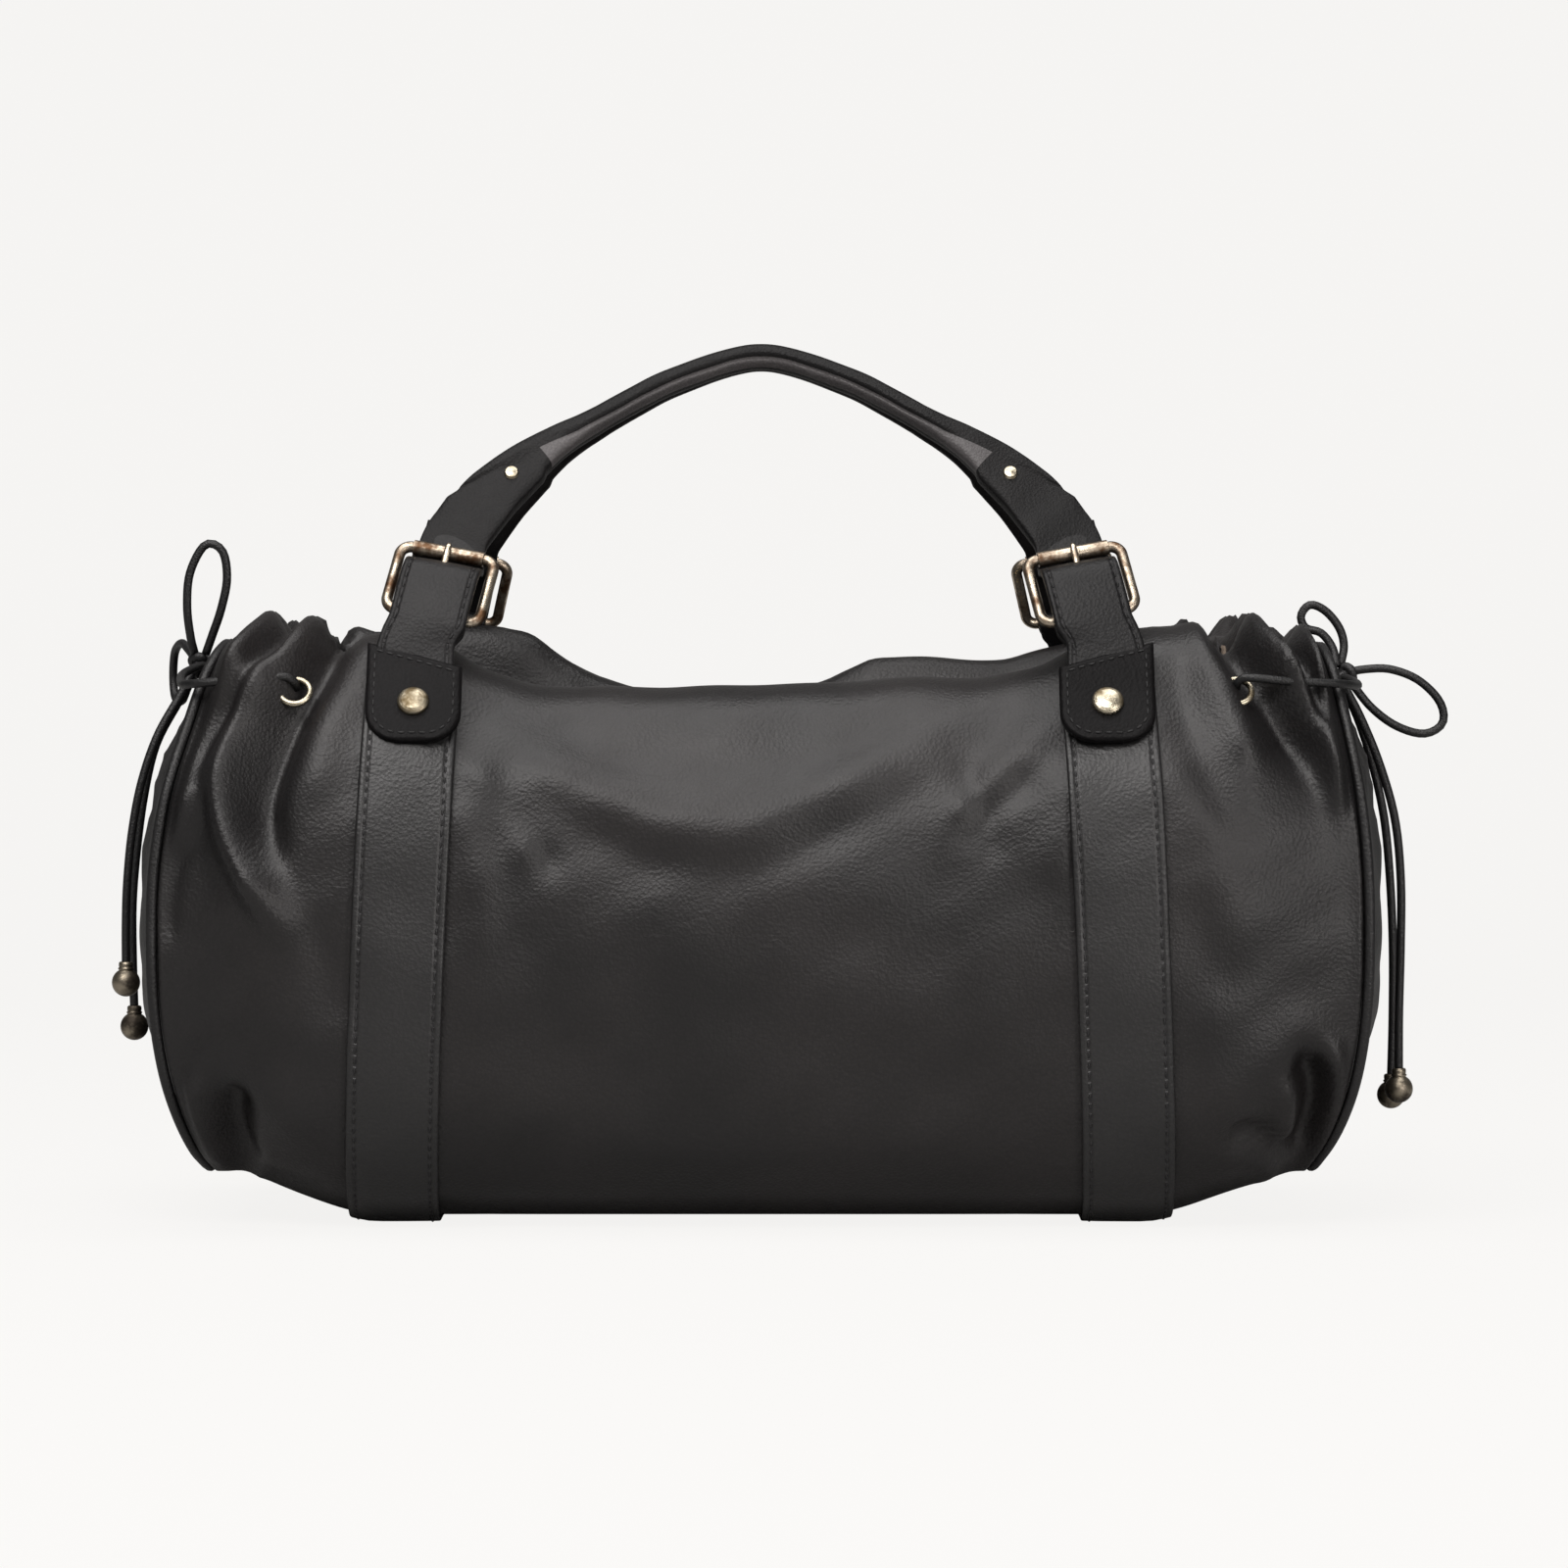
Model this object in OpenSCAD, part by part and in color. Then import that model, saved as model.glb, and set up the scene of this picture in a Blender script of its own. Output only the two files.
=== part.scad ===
// Barrel handbag in soft leather: a gathered body with two riveted handles on
// roller buckles, a recessed zip, and a drawstring tied in a bow at each end.
// X runs along the bag, -Y is the front, +Z is up, and z = 0 is the table.

/* [Body] */
// Half length of the main panel at mid height, to the end seam
seam_x = 189; // [170:1:210]
// How far the left seam is drawn in by its drawstring at the top
left_seam_lean = 22; // [12:1:24]
// How far the right seam is drawn in by its drawstring at the top
right_seam_lean = 14; // [8:1:20]
// How far both seams lean in at the bottom
bottom_seam_lean = 24; // [16:1:28]
// Half depth of the body, front to back
half_depth = 88; // [76:1:96]
// Height of the widest part of the body
waist_z = 98; // [88:1:106]
// Height of the top ridges at the ends of the bag
ridge_z = 189; // [182:1:200]
// How far the ridges sag in the middle of the bag
ridge_sag = 18; // [8:1:18]
// How far the end panels bulge past the waist seam
end_bulge = 11; // [6:1:14]
// Thickness of the body leather
leather_t = 2.2; // [1.6:0.1:2.4]
// Thickness of the lining cloth
lining_t = 1; // [0.6:0.1:1.4]
// Radius of the piping round each end panel
piping_r = 1.8; // [1.2:0.1:2.4]

/* [Straps] */
// Width of the bands, straps and tabs
strap_w = 26; // [22:1:28]
// Thickness of one strap layer
strap_t = 2.6; // [2:0.1:3]
// Half distance between the handle tabs
tab_x = 109; // [104:1:114]
// How far the bands spread outwards towards the bottom
band_spread = 8; // [0:1:12]
// Thickness of the body bands
band_t = 1.6; // [1.2:0.1:2]
// Length of the riveted tabs
tab_len = 37; // [30:1:38]
// Radius of the tab rivet caps
rivet_r = 5; // [3:0.1:6]

/* [Handles] */
// Height of the handle hinge line
hinge_z = 187; // [184:0.5:192]
// Distance of the handle hinge line from the middle of the bag, as a share of the half depth
hinge_share = 0.6761; // [0.66:0.0001:0.7]
// Length of the handle from hinge line to crest
handle_rise = 105; // [94:1:114]
// Depth of the rolled grip at its crest
grip_depth = 9; // [7:0.5:11]
// Thickness of the rolled grip at its crest
grip_t = 7; // [6:0.2:8]

/* [Buckles] */
// Thickness of the frame bars
bar_t = 3.6; // [3.2:0.1:4]
// Outer length of the frame along the strap
frame_len = 27; // [25:0.5:30]
// Lean of each buckle towards the middle of the bag, in degrees
buckle_lean = 12; // [8:1:14]
// Radius of the roller
roller_r = 2.4; // [2.2:0.1:2.6]

/* [Zip] */
// Half length of the mouth
mouth_x = 134; // [126:1:136]
// Half width of the mouth
mouth_y = 18; // [15:0.5:20]
// Height of the recess floor between the ridges
floor_z = 160; // [154:1:164]
// Pitch of the zip teeth
tooth_pitch = 4; // [3:0.5:5]

/* [Drawstrings] */
// Diameter of the cords
cord_d = 2.8; // [2.2:0.1:3.2]
// Radius of the metal balls on the cord ends
ball_r = 4.6; // [3.8:0.1:5.2]
// Outer radius of the eyelets
eyelet_r = 6; // [5:0.2:7]

/* [Hidden] */
$fn = 48;
hull_fn = 32;
// Gap between leather pieces that are sewn or laid on each other
seat = 0.3;
// Running gap round a pin, bar or roller
running = 0.15;
// Overrun of a cut past the solid that it goes through
over = 1;
half_turn = 180;
quarter_turn = 90;

// Half of the body's section, from the middle of the bottom up to the ridge:
// shares of the half depth, and of the height below and above the waist
lower_shares = [[0, 0], [0.3, 0], [0.5, 0], [0.62, 0.045], [0.74, 0.125], [0.9, 0.37], [0.985, 0.7], [1, 1]];
upper_shares = [[0.965, 0.36], [0.9, 0.58], [0.795, 0.755], [0.75, 0.815], [0.66, 0.93], [0.56, 0.985], [0.46, 1], [0.38, 0.97]];
// Share of the half depth for the recess floor's edge
floor_share = 0.29;
// Where the ridge starts and ends its rise, as shares of the half length
ridge_rise_shares = [0.36, 0.68];
// Where the recess closes, as shares of the half length
recess_close_shares = [0.75, 0.84];
narrow_from_share = 0.74;
// Where a shorter inner skin starts to draw in from the end, as a share of the half length
end_from_share = 0.86;
// How much each end narrows in depth, at the bottom and at the top
depth_narrow_share = 0.13;
bottom_narrow_share = 0.14;
top_narrow_share = 0.04;
// Height of the body's underside, which rests on its bands and base panel
band_rise = 3 * seat;
base_z = band_rise + band_t;
hinge_y = hinge_share * half_depth;

function smooth_step(a, b, v) =
    let (t = min(1, max(0, (v - a) / (b - a)))) t * t * (3 - 2 * t);
function mix(a, b, t) = a + (b - a) * t;

// Height of the ridges at a share of the half length
function ridge_at(s) =
    ridge_z - ridge_sag * (1 - smooth_step(ridge_rise_shares[0], ridge_rise_shares[1], abs(s)));
// Height of the recess floor, which rises to close the top outside the mouth
function floor_at(s) =
    mix(floor_z, ridge_z, smooth_step(recess_close_shares[0], recess_close_shares[1], abs(s)));
// X of the end seam at a height, on the left or the right; the bottom corners are rounder
bottom_seam_power = 4;
function seam_at(z, left) =
    seam_x - (z < waist_z ? bottom_seam_lean : left ? left_seam_lean : right_seam_lean)
             * pow((z - waist_z) / waist_z, z < waist_z ? bottom_seam_power : 2);

// Stations along the body as shares of its half length; the mouth ends at one,
// and each eyelet's hole lies between two
mouth_share = mouth_x / seam_at(floor_z, false);
eyelet_share = 0.826;
eyelet_gap_share = 3 / seam_x;
station_half_shares = [0.12, 0.26, 0.36, 0.44, 0.52, 0.6, 0.67, mouth_share,
    eyelet_share - eyelet_gap_share, eyelet_share + eyelet_gap_share, 0.9, 0.955, 1];
station_shares = concat(
    [for (i = [len(station_half_shares) - 1:-1:0]) -station_half_shares[i]],
    [0], station_half_shares);
station_n = len(station_shares);

// One half of the section at a share of the half length, as [y, z] with y positive
function half_section(s) = concat(
    [for (p = lower_shares) [p[0] * half_depth, mix(base_z, waist_z, p[1])]],
    [for (p = upper_shares) [p[0] * half_depth, mix(waist_z, ridge_at(s), p[1])]],
    [for (y = [floor_share * half_depth, mouth_y, 0]) [y, floor_at(s)]]
);
half_n = len(lower_shares) + len(upper_shares) + 3;
ring_n = 2 * half_n - 2;
// Narrows a section point towards the waist near the end of the body
function narrowed(p, s) =
    let (e = smooth_step(narrow_from_share, 1, abs(s)),
         z_share = p[1] < waist_z ? bottom_narrow_share : top_narrow_share)
    [p[0] * (1 - depth_narrow_share * e), mix(p[1], waist_z, z_share * e)];
// Draws a section point inwards by a depth t; the recess's walls draw outwards instead
recess_inset_share = 0.9;
function inset_point(p, t, i) =
    [i >= half_n - 2 ? p[0] : i >= half_n - 4 ? p[0] + t * recess_inset_share : p[0] * (1 - t / half_depth),
     p[1] < waist_z ? mix(base_z + t, waist_z, (p[1] - base_z) / (waist_z - base_z))
                    : p[1] - t * min(1, (p[1] - waist_z) / (floor_z - waist_z))];
// A whole ring of the body at share s and depth t under its surface, as [x, y, z]
function ring(s, t = 0, reach = 1) =
    let (b = half_section(s), h = [for (i = [0:half_n - 1]) narrowed(inset_point(b[i], t, i), s)],
         loop = concat([for (i = [0:half_n - 1]) [-h[i][0], h[i][1]]],
                       [for (i = [half_n - 2:-1:1]) [h[i][0], h[i][1]]]))
    [for (p = loop) [s * (1 - (1 - reach) * smooth_step(end_from_share, 1, abs(s))) * seam_at(p[1], s < 0), p[0], p[1]]];

function middle_of(r, i = 0, total = [0, 0, 0]) =
    i < len(r) ? middle_of(r, i + 1, total + r[i]) : total / len(r);

// Joins rings of n points into a closed skin; caps = true closes both ends,
// and otherwise the last ring joins the first
module ring_skin(rings, caps = true) {
    n = len(rings[0]);
    m = len(rings);
    points = [for (r = rings) for (p = r) p];
    last = caps ? m - 2 : m - 1;
    sides = [for (i = [0:last]) for (j = [0:n - 1])
        let (a = i * n + j, b = i * n + (j + 1) % n,
             c = ((i + 1) % m) * n + (j + 1) % n, d = ((i + 1) % m) * n + j)
        each [[a, b, c], [a, c, d]]];
    middles = caps ? [middle_of(rings[0]), middle_of(rings[m - 1])] : [];
    ends = caps ? [for (j = [0:n - 1]) let (k = (j + 1) % n)
        each [[k, j, m * n], [(m - 1) * n + j, (m - 1) * n + k, m * n + 1]]] : [];
    polyhedron(points = concat(points, middles), faces = concat(sides, ends), convexity = 8);
}

// True where a cell of the body's grid is leather: the mouth and the eyelets' holes are not
eyelet_row = len(lower_shares) + 2;
function near(a, b) = abs(a - b) < 0.001;
function kept(i, j) =
    i < 0 || i > station_n - 2 ? false :
    let (a = abs(station_shares[i]), b = abs(station_shares[i + 1]), lo = min(a, b), hi = max(a, b),
         in_mouth = (j == half_n - 2 || j == half_n - 1) && hi < mouth_share + 0.001,
         in_eyelet = (j == eyelet_row || j == ring_n - eyelet_row - 1)
                     && near(lo, eyelet_share - eyelet_gap_share))
    !in_mouth && !in_eyelet;

// The body's skin between two depths, open at its ends, its mouth and its eyelets
module body_skin(t0, t1, reach) {
    n = ring_n;
    m = station_n;
    half = m * n;
    outer = [for (s = station_shares) ring(s, t0, reach)];
    inner = [for (s = station_shares) ring(s, t1, reach)];
    points = concat([for (r = outer) for (p = r) p], [for (r = inner) for (p = r) p]);
    faces = [for (i = [0:m - 2]) for (j = [0:n - 1]) if (kept(i, j))
        let (k = (j + 1) % n, a = i * n + j, b = i * n + k, c = (i + 1) * n + k, d = (i + 1) * n + j)
        each concat(
            [[a, b, c], [a, c, d], [half + c, half + b, half + a], [half + d, half + c, half + a]],
            kept(i - 1, j) ? [] : [[b, a, half + a], [b, half + a, half + b]],
            kept(i + 1, j) ? [] : [[d, c, half + c], [d, half + c, half + d]],
            kept(i, (j + n - 1) % n) ? [] : [[a, d, half + d], [a, half + d, half + a]],
            kept(i, k) ? [] : [[c, b, half + b], [c, half + b, half + c]])];
    polyhedron(points = points, faces = faces, convexity = 10);
}

// The handles lean inwards until their crests almost meet; angles in degrees
lean = asin((hinge_y - grip_depth / 2 - grip_t / 4 - seat) / handle_rise);
tab_slope = 56;

module shell() {
    color("#2c2a2b")
        body_skin(0, leather_t, 1);
}

lining_reach = 0.97;
module lining() {
    color("#5b5048")
        body_skin(leather_t + seat, leather_t + seat + lining_t, lining_reach);
}

board_x_share = 0.68;
board_y_share = 0.5;
board_t = 2;
board_corner = 14;
module base_board() {
    x = seam_x * board_x_share - board_corner;
    y = half_depth * board_y_share - board_corner;
    color("#4a4340")
        translate([0, 0, base_z + leather_t + lining_t + 3 * seat])
            linear_extrude(board_t)
                union() {
                    square([2 * (x + board_corner), 2 * y], center = true);
                    square([2 * x, 2 * (y + board_corner)], center = true);
                    for (i = [-1, 1], j = [-1, 1])
                        translate([i * x, j * y])
                            circle(r = board_corner);
                }
}

// Outer base panel between the bands
module base_panel() {
    panel_x = tab_x + band_spread - band_w / 2 - 1;
    color("#262425")
        linear_extrude(band_t)
            square([2 * panel_x, 2 * (lower_shares[2][0] * half_depth - seat)], center = true);
}

// The end seam's ring, scaled about the waist and shifted outwards along x
function end_ring(left) = [for (p = ring(left ? -1 : 1)) [abs(p[0]), p[1], p[2]]];
function seam_ring(scale_share, out, left) =
    [for (p = end_ring(left)) [p[0] + out, p[1] * scale_share, mix(waist_z, p[2], scale_share)]];
// Rings of the domed end panel, from its edge to near its middle
panel_shares = [1, 0.86, 0.64, 0.4, 0.16];
panel_edge_share = 1 - (2 * piping_r + seat) / half_depth;
function dome_out(f) = end_bulge * (1 - f * f);
function panel_ring(f, t, left) =
    let (k = f * panel_edge_share)
    [for (p = end_ring(left))
        [mix(seam_x, p[0], f * f) + dome_out(f) + piping_r - t, p[1] * k, mix(waist_z, p[2], k)]];

module end_panel(left) {
    last = len(panel_shares) - 1;
    inner = [for (i = [last:-1:0]) panel_ring(panel_shares[i], leather_t, left)];
    outer = [for (i = [0:last]) panel_ring(panel_shares[i], 0, left)];
    color("#2c2a2b")
        mirror([left ? 1 : 0, 0, 0])
            ring_skin(concat(inner, outer));
}

// A closed tube of radius r along a ring of points
tube_n = 8;
piping_seat = 4 * seat;
function unit(v) = v / norm(v);
module closed_tube(path, r) {
    n = len(path);
    rings = [for (i = [0:n - 1])
        let (t = unit(path[(i + 1) % n] - path[(i + n - 1) % n]),
             u = unit(cross(t, [1, 0, 0])), v = [1, 0, 0])
        [for (k = [0:tube_n - 1]) path[i] + r * (cos(k * 360 / tube_n) * u + sin(k * 360 / tube_n) * v)]];
    ring_skin([for (i = [n - 1:-1:0]) rings[i]], caps = false);
}

module piping(left) {
    color("#232122")
        mirror([left ? 1 : 0, 0, 0])
            closed_tube(seam_ring(1 - piping_r / half_depth, piping_r + piping_seat, left), piping_r);
}

// A band follows the body's own section between two of its points, on its surface
function band_point(s, i, out) =
    let (h = half_section(s), p = h[i],
         q = h[i + 1], o = h[max(0, i - 1)],
         d = unit(q - o))
    p + out * [d[1], -d[0]];
band_top = len(lower_shares) + 3;
function band_centre(i) = tab_x + band_spread * (1 - min(1, half_section(0)[i][1] / ridge_z));
function band_ring(side, y_side, i) =
    let (x = band_centre(i))
    [for (c = [[-1, 0], [1, 0], [1, 1], [-1, 1]])
        let (px = x + c[0] * band_w / 2,
             edge = seam_at(half_section(px / seam_x)[i][1], side < 0),
             p = band_point(px / edge, i, band_rise + c[1] * band_t))
        [side * px, y_side * p[0], p[1]]];
band_w = strap_w + 3;
module band(side) {
    front = [for (i = [band_top:-1:0]) band_ring(side, -1, i)];
    rear = [for (i = [1:band_top]) band_ring(side, 1, i)];
    rings = concat(front, rear);
    color("#262425")
        ring_skin(side > 0 ? rings : [for (r = rings) [for (k = [3:-1:0]) r[k]]]);
}

// Zip: facings fill the mouth's edges, tapes lie under them, teeth face across a slit
facing_t = 1.8;
facing_gap_y = 8;
facing_z = floor_z - leather_t;
tape_t = 0.7;
tape_in = 3.6;
tape_out = 14;
tape_top = facing_z - seat;
zip_half = mouth_x - 8;
tooth_w = 1.6;
tooth_t = 2.6;
tooth_start = 0.8;
tooth_z = tape_top - tape_t / 2;

module zip_facings() {
    left_end = mouth_share * seam_at(floor_z, true) - 2 * seat;
    right_end = mouth_x - 2 * seat;
    color("#262425")
        for (y_side = [-1, 1])
            translate([-left_end, y_side > 0 ? facing_gap_y : -mouth_y + seat, facing_z])
                cube([left_end + right_end, mouth_y - seat - facing_gap_y, facing_t]);
}

module zip_tapes() {
    color("#1c1b1c")
        for (y_side = [-1, 1])
            translate([-zip_half, y_side > 0 ? tape_in : -tape_out, tape_top - tape_t])
                cube([2 * zip_half, tape_out - tape_in, tape_t]);
}

module zip_tooth(y_side) {
    head = tape_in - seat / 2;
    translate([0, 0, tooth_z - tooth_t / 2])
        linear_extrude(tooth_t)
            polygon([
                [-tooth_w / 2, y_side * tooth_start], [tooth_w / 2, y_side * tooth_start],
                [tooth_w / 2, y_side * head], [-tooth_w / 2, y_side * head]
            ]);
}

tooth_count = floor(2 * (zip_half - 2 * tooth_pitch) / tooth_pitch);
module zip_teeth() {
    first = -(tooth_count - 1) / 2 * tooth_pitch;
    color("#b49a63")
        for (i = [0:tooth_count - 1])
            translate([first + i * tooth_pitch, 0, 0]) {
                translate([-tooth_pitch / 4, 0, 0])
                    zip_tooth(-1);
                translate([tooth_pitch / 4, 0, 0])
                    zip_tooth(1);
            }
}

stop_len = 3;
module zip_stops() {
    color("#b49a63")
        for (side = [-1, 1])
            translate([side * (zip_half - stop_len), 0, tooth_z])
                cube([stop_len, 2 * tape_in - seat, tooth_t], center = true);
}

// Slider: two plates joined by a post that rides between the tapes, with lugs for the pull
slider_x = mouth_x - 26;
slider_len = 13;
slider_w = 11;
slider_plate = 1.2;
slider_gap = tooth_t + 2 * seat;
lug_t = 1.2;
lug_gap = 3.4;
pin_r = 0.9;
lug_h = 4.6;
pin_z = tooth_z + slider_gap / 2 + slider_plate + lug_h - 2 * pin_r;
module slider_plate_shape() {
    union() {
        square([slider_len - slider_w / 2, slider_w], center = true);
        translate([slider_len / 2 - slider_w / 4 - slider_w / 4, 0])
            circle(r = slider_w / 2);
    }
}

module zip_slider() {
    color("#b49a63")
        translate([slider_x, 0, tooth_z]) {
            for (z = [slider_gap / 2, -slider_gap / 2 - slider_plate])
                translate([0, 0, z])
                    linear_extrude(slider_plate)
                        slider_plate_shape();
            cube([slider_len / 2, 2 * (tooth_start - running) - seat, slider_gap + slider_plate], center = true);
            for (y_side = [-1, 1])
                translate([-pin_r * 2, y_side * (lug_gap / 2 + lug_t / 2) - lug_t / 2, slider_gap / 2])
                    cube([pin_r * 4, lug_t, slider_plate + lug_h]);
            translate([0, 0, pin_z - tooth_z])
                rotate([quarter_turn, 0, 0])
                    cylinder(r = pin_r, h = lug_gap + lug_t, center = true);
        }
}

pull_len = 19;
pull_w = 8;
pull_t = 1.8;
pull_eye_r = 2.2;
module zip_pull() {
    color("#b49a63")
        translate([slider_x, 0, pin_z])
            difference() {
                union() {
                    rotate([quarter_turn, 0, 0])
                        cylinder(r = pull_eye_r, h = lug_gap - 2 * running, center = true);
                    translate([-pull_len / 2, 0, 0])
                        cube([pull_len, lug_gap - 2 * running, pull_t], center = true);
                    translate([-pull_len + pull_w / 2, 0, -pull_t / 2])
                        linear_extrude(pull_t)
                            union() {
                                circle(r = pull_w / 2);
                                translate([pull_w / 4, 0])
                                    square([pull_w / 2, pull_w], center = true);
                            }
                }
                rotate([quarter_turn, 0, 0])
                    cylinder(r = pin_r + running, h = lug_gap + over, center = true);
                translate([-pull_len + pull_w / 2, 0, 0])
                    cylinder(r = pull_w / 5, h = pull_t + over, center = true);
            }
}

// Puts its children in a handle's own frame: x along the hinge line, y up the
// strap and z out of the front face, with the buckle's lean towards the middle
module hinge_frame(y_side, lean_angle) {
    rotate([0, 0, y_side > 0 ? half_turn : 0])
        translate([0, -hinge_y, hinge_z])
            rotate([quarter_turn - lean_angle, 0, 0])
                children();
}
buckle_shift = 3;
module buckle_frame(x_side) {
    translate([x_side * (tab_x - buckle_shift), 0, 0])
        rotate([0, 0, x_side * buckle_lean])
            children();
}
// Left and right as seen from the front, for a part on the front or the rear
function frame_side(x_side, y_side) = y_side > 0 ? -x_side : x_side;

// Tab: a round-ended patch below the hinge line, with its rivet
knuckle_r = 2.2;
module tab_frame(x_side, y_side) {
    rotate([0, 0, y_side > 0 ? half_turn : 0])
        translate([frame_side(x_side, y_side) * tab_x, -hinge_y, hinge_z])
            rotate([tab_slope, 0, 0])
                translate([0, -knuckle_r - seat, 0])
                    children();
}
tab_w = strap_w + 4;
tab_t = 2.4;
tab_z = -tab_t / 2;
rivet_drop = 23;
rivet_hole_r = 2;
rivet_dome_h = 2.6;
rivet_flange_t = 0.8;
module tab(x_side, y_side) {
    color("#2a2829")
        tab_frame(x_side, y_side)
            translate([0, 0, tab_z])
                difference() {
                    linear_extrude(tab_t)
                        union() {
                            translate([-tab_w / 2, -tab_len + tab_w / 3])
                                square([tab_w, tab_len - tab_w / 3]);
                            translate([-tab_w / 6, -tab_len])
                                square([tab_w / 3, tab_len]);
                            for (i = [-1, 1])
                                translate([i * tab_w / 6, -tab_len + tab_w / 3])
                                    circle(r = tab_w / 3);
                        }
                    translate([0, -rivet_drop, -over])
                        cylinder(r = rivet_hole_r, h = tab_t + 2 * over);
                }
}

module rivet_solid() {
    rotate_extrude()
        polygon([
            [0, -tab_t], [rivet_hole_r - seat / 2, -tab_t], [rivet_hole_r - seat / 2, 0],
            [rivet_r, 0], [rivet_r, rivet_flange_t],
            each [for (a = [15:15:75]) [rivet_r * cos(a), rivet_flange_t + (rivet_dome_h - rivet_flange_t) * sin(a)]],
            [0, rivet_dome_h]
        ]);
}
module tab_rivets() {
    color("#c9b98c")
        for (x_side = [-1, 1], y_side = [-1, 1])
            tab_frame(x_side, y_side)
                translate([0, -rivet_drop, tab_z + tab_t])
                    rivet_solid();
}

// Eyelets near the gathered ends, front and rear
eyelet_hole_r = eyelet_r * 0.6;
eyelet_t = 0.8;
function eyelet_mid() =
    let (h = half_section(eyelet_share), p = narrowed(h[eyelet_row], eyelet_share),
         q = narrowed(h[eyelet_row + 1], eyelet_share))
    [(p[0] + q[0]) / 2, (p[1] + q[1]) / 2, atan2(p[0] - q[0], q[1] - p[1])];
module eyelet_places() {
    e = eyelet_mid();
    for (left = [true, false], y_side = [-1, 1])
        translate([(left ? -1 : 1) * eyelet_share * seam_at(e[1], left), y_side * e[0], e[1]])
            rotate([y_side * -1 * (quarter_turn - e[2]), 0, 0])
                children();
}
module eyelets() {
    color("#c9b98c")
        eyelet_places()
            translate([0, 0, 3 * seat])
                rotate_extrude()
                    translate([(eyelet_r + eyelet_hole_r) / 2 - seat / 2, eyelet_t])
                        circle(r = (eyelet_r - eyelet_hole_r) / 2 + seat / 2 - seat);
}

// Buckle: a frame with a heel bar, a roller on its top bar, and a prong
frame_w = strap_w + 2 * bar_t + 1;
heel_h = 8;
top_h = heel_h + frame_len - bar_t;
bar_r = bar_t / 2;
roller_bar_r = roller_r - 0.9;
corner_r = bar_t;

// One round side bar with its two corners, and the straight heel and top bars
module frame(x_side, y_side) {
    half = frame_w / 2 - bar_r;
    color("#c8a978")
        hinge_frame(y_side, lean)
            buckle_frame(frame_side(x_side, y_side))
                union() {
                    translate([0, heel_h, 0])
                        rotate([0, quarter_turn, 0])
                            cylinder(r = bar_r * 0.8, h = 2 * (half - corner_r) + seat, center = true);
                    translate([0, top_h, 0])
                        rotate([0, quarter_turn, 0])
                            cylinder(r = roller_bar_r, h = 2 * (half - corner_r) + seat, center = true);
                    for (i = [-1, 1]) {
                        translate([i * half, (heel_h + top_h) / 2, 0])
                            rotate([quarter_turn, 0, 0])
                                cylinder(r = bar_r, h = top_h - heel_h - 2 * corner_r, center = true);
                        for (j = [-1, 1])
                            translate([i * (half - corner_r), (heel_h + top_h) / 2
                                       + j * ((top_h - heel_h) / 2 - corner_r), 0])
                                rotate([0, 0, i > 0 ? (j > 0 ? 0 : -quarter_turn)
                                                    : (j > 0 ? quarter_turn : half_turn)])
                                    rotate_extrude(angle = quarter_turn)
                                        translate([corner_r, 0])
                                            circle(r = bar_r);
                    }
                }
}

module roller(x_side, y_side) {
    length = frame_w - 2 * bar_t - 2 * corner_r + 2 * bar_r - 4 * running;
    color("#e0c9a6")
        hinge_frame(y_side, lean)
            buckle_frame(frame_side(x_side, y_side))
                translate([0, top_h, 0])
                    rotate([0, quarter_turn, 0])
                        difference() {
                            cylinder(r = roller_r, h = length, center = true);
                            cylinder(r = roller_bar_r + running, h = length + over, center = true);
                        }
}

// Prong: an eye on the heel bar and a bar that rests on the front of the roller
prong_t = 2;
prong_w = 3;
prong_eye_r = bar_r * 0.8 + running + 1.2;
prong_over = 2.2;
prong_rest = roller_r + prong_t / 2 + seat;
prong_angle = atan(prong_rest / (top_h - heel_h));
module prong(x_side, y_side) {
    reach = (top_h - heel_h) / cos(prong_angle) + prong_over;
    color("#d8bf92")
        hinge_frame(y_side, lean)
            buckle_frame(frame_side(x_side, y_side))
                translate([0, heel_h, 0])
                    difference() {
                        union() {
                            rotate([0, quarter_turn, 0])
                                cylinder(r = prong_eye_r, h = prong_w, center = true);
                            rotate([prong_angle, 0, 0]) {
                                translate([0, reach / 2, 0])
                                    cube([prong_w, reach, prong_t], center = true);
                                translate([0, reach, 0])
                                    rotate([0, quarter_turn, 0])
                                        cylinder(r = prong_t / 2, h = prong_w, center = true);
                            }
                        }
                        rotate([0, quarter_turn, 0])
                            cylinder(r = bar_r * 0.8 + running, h = prong_w + over, center = true);
                    }
}

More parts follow.
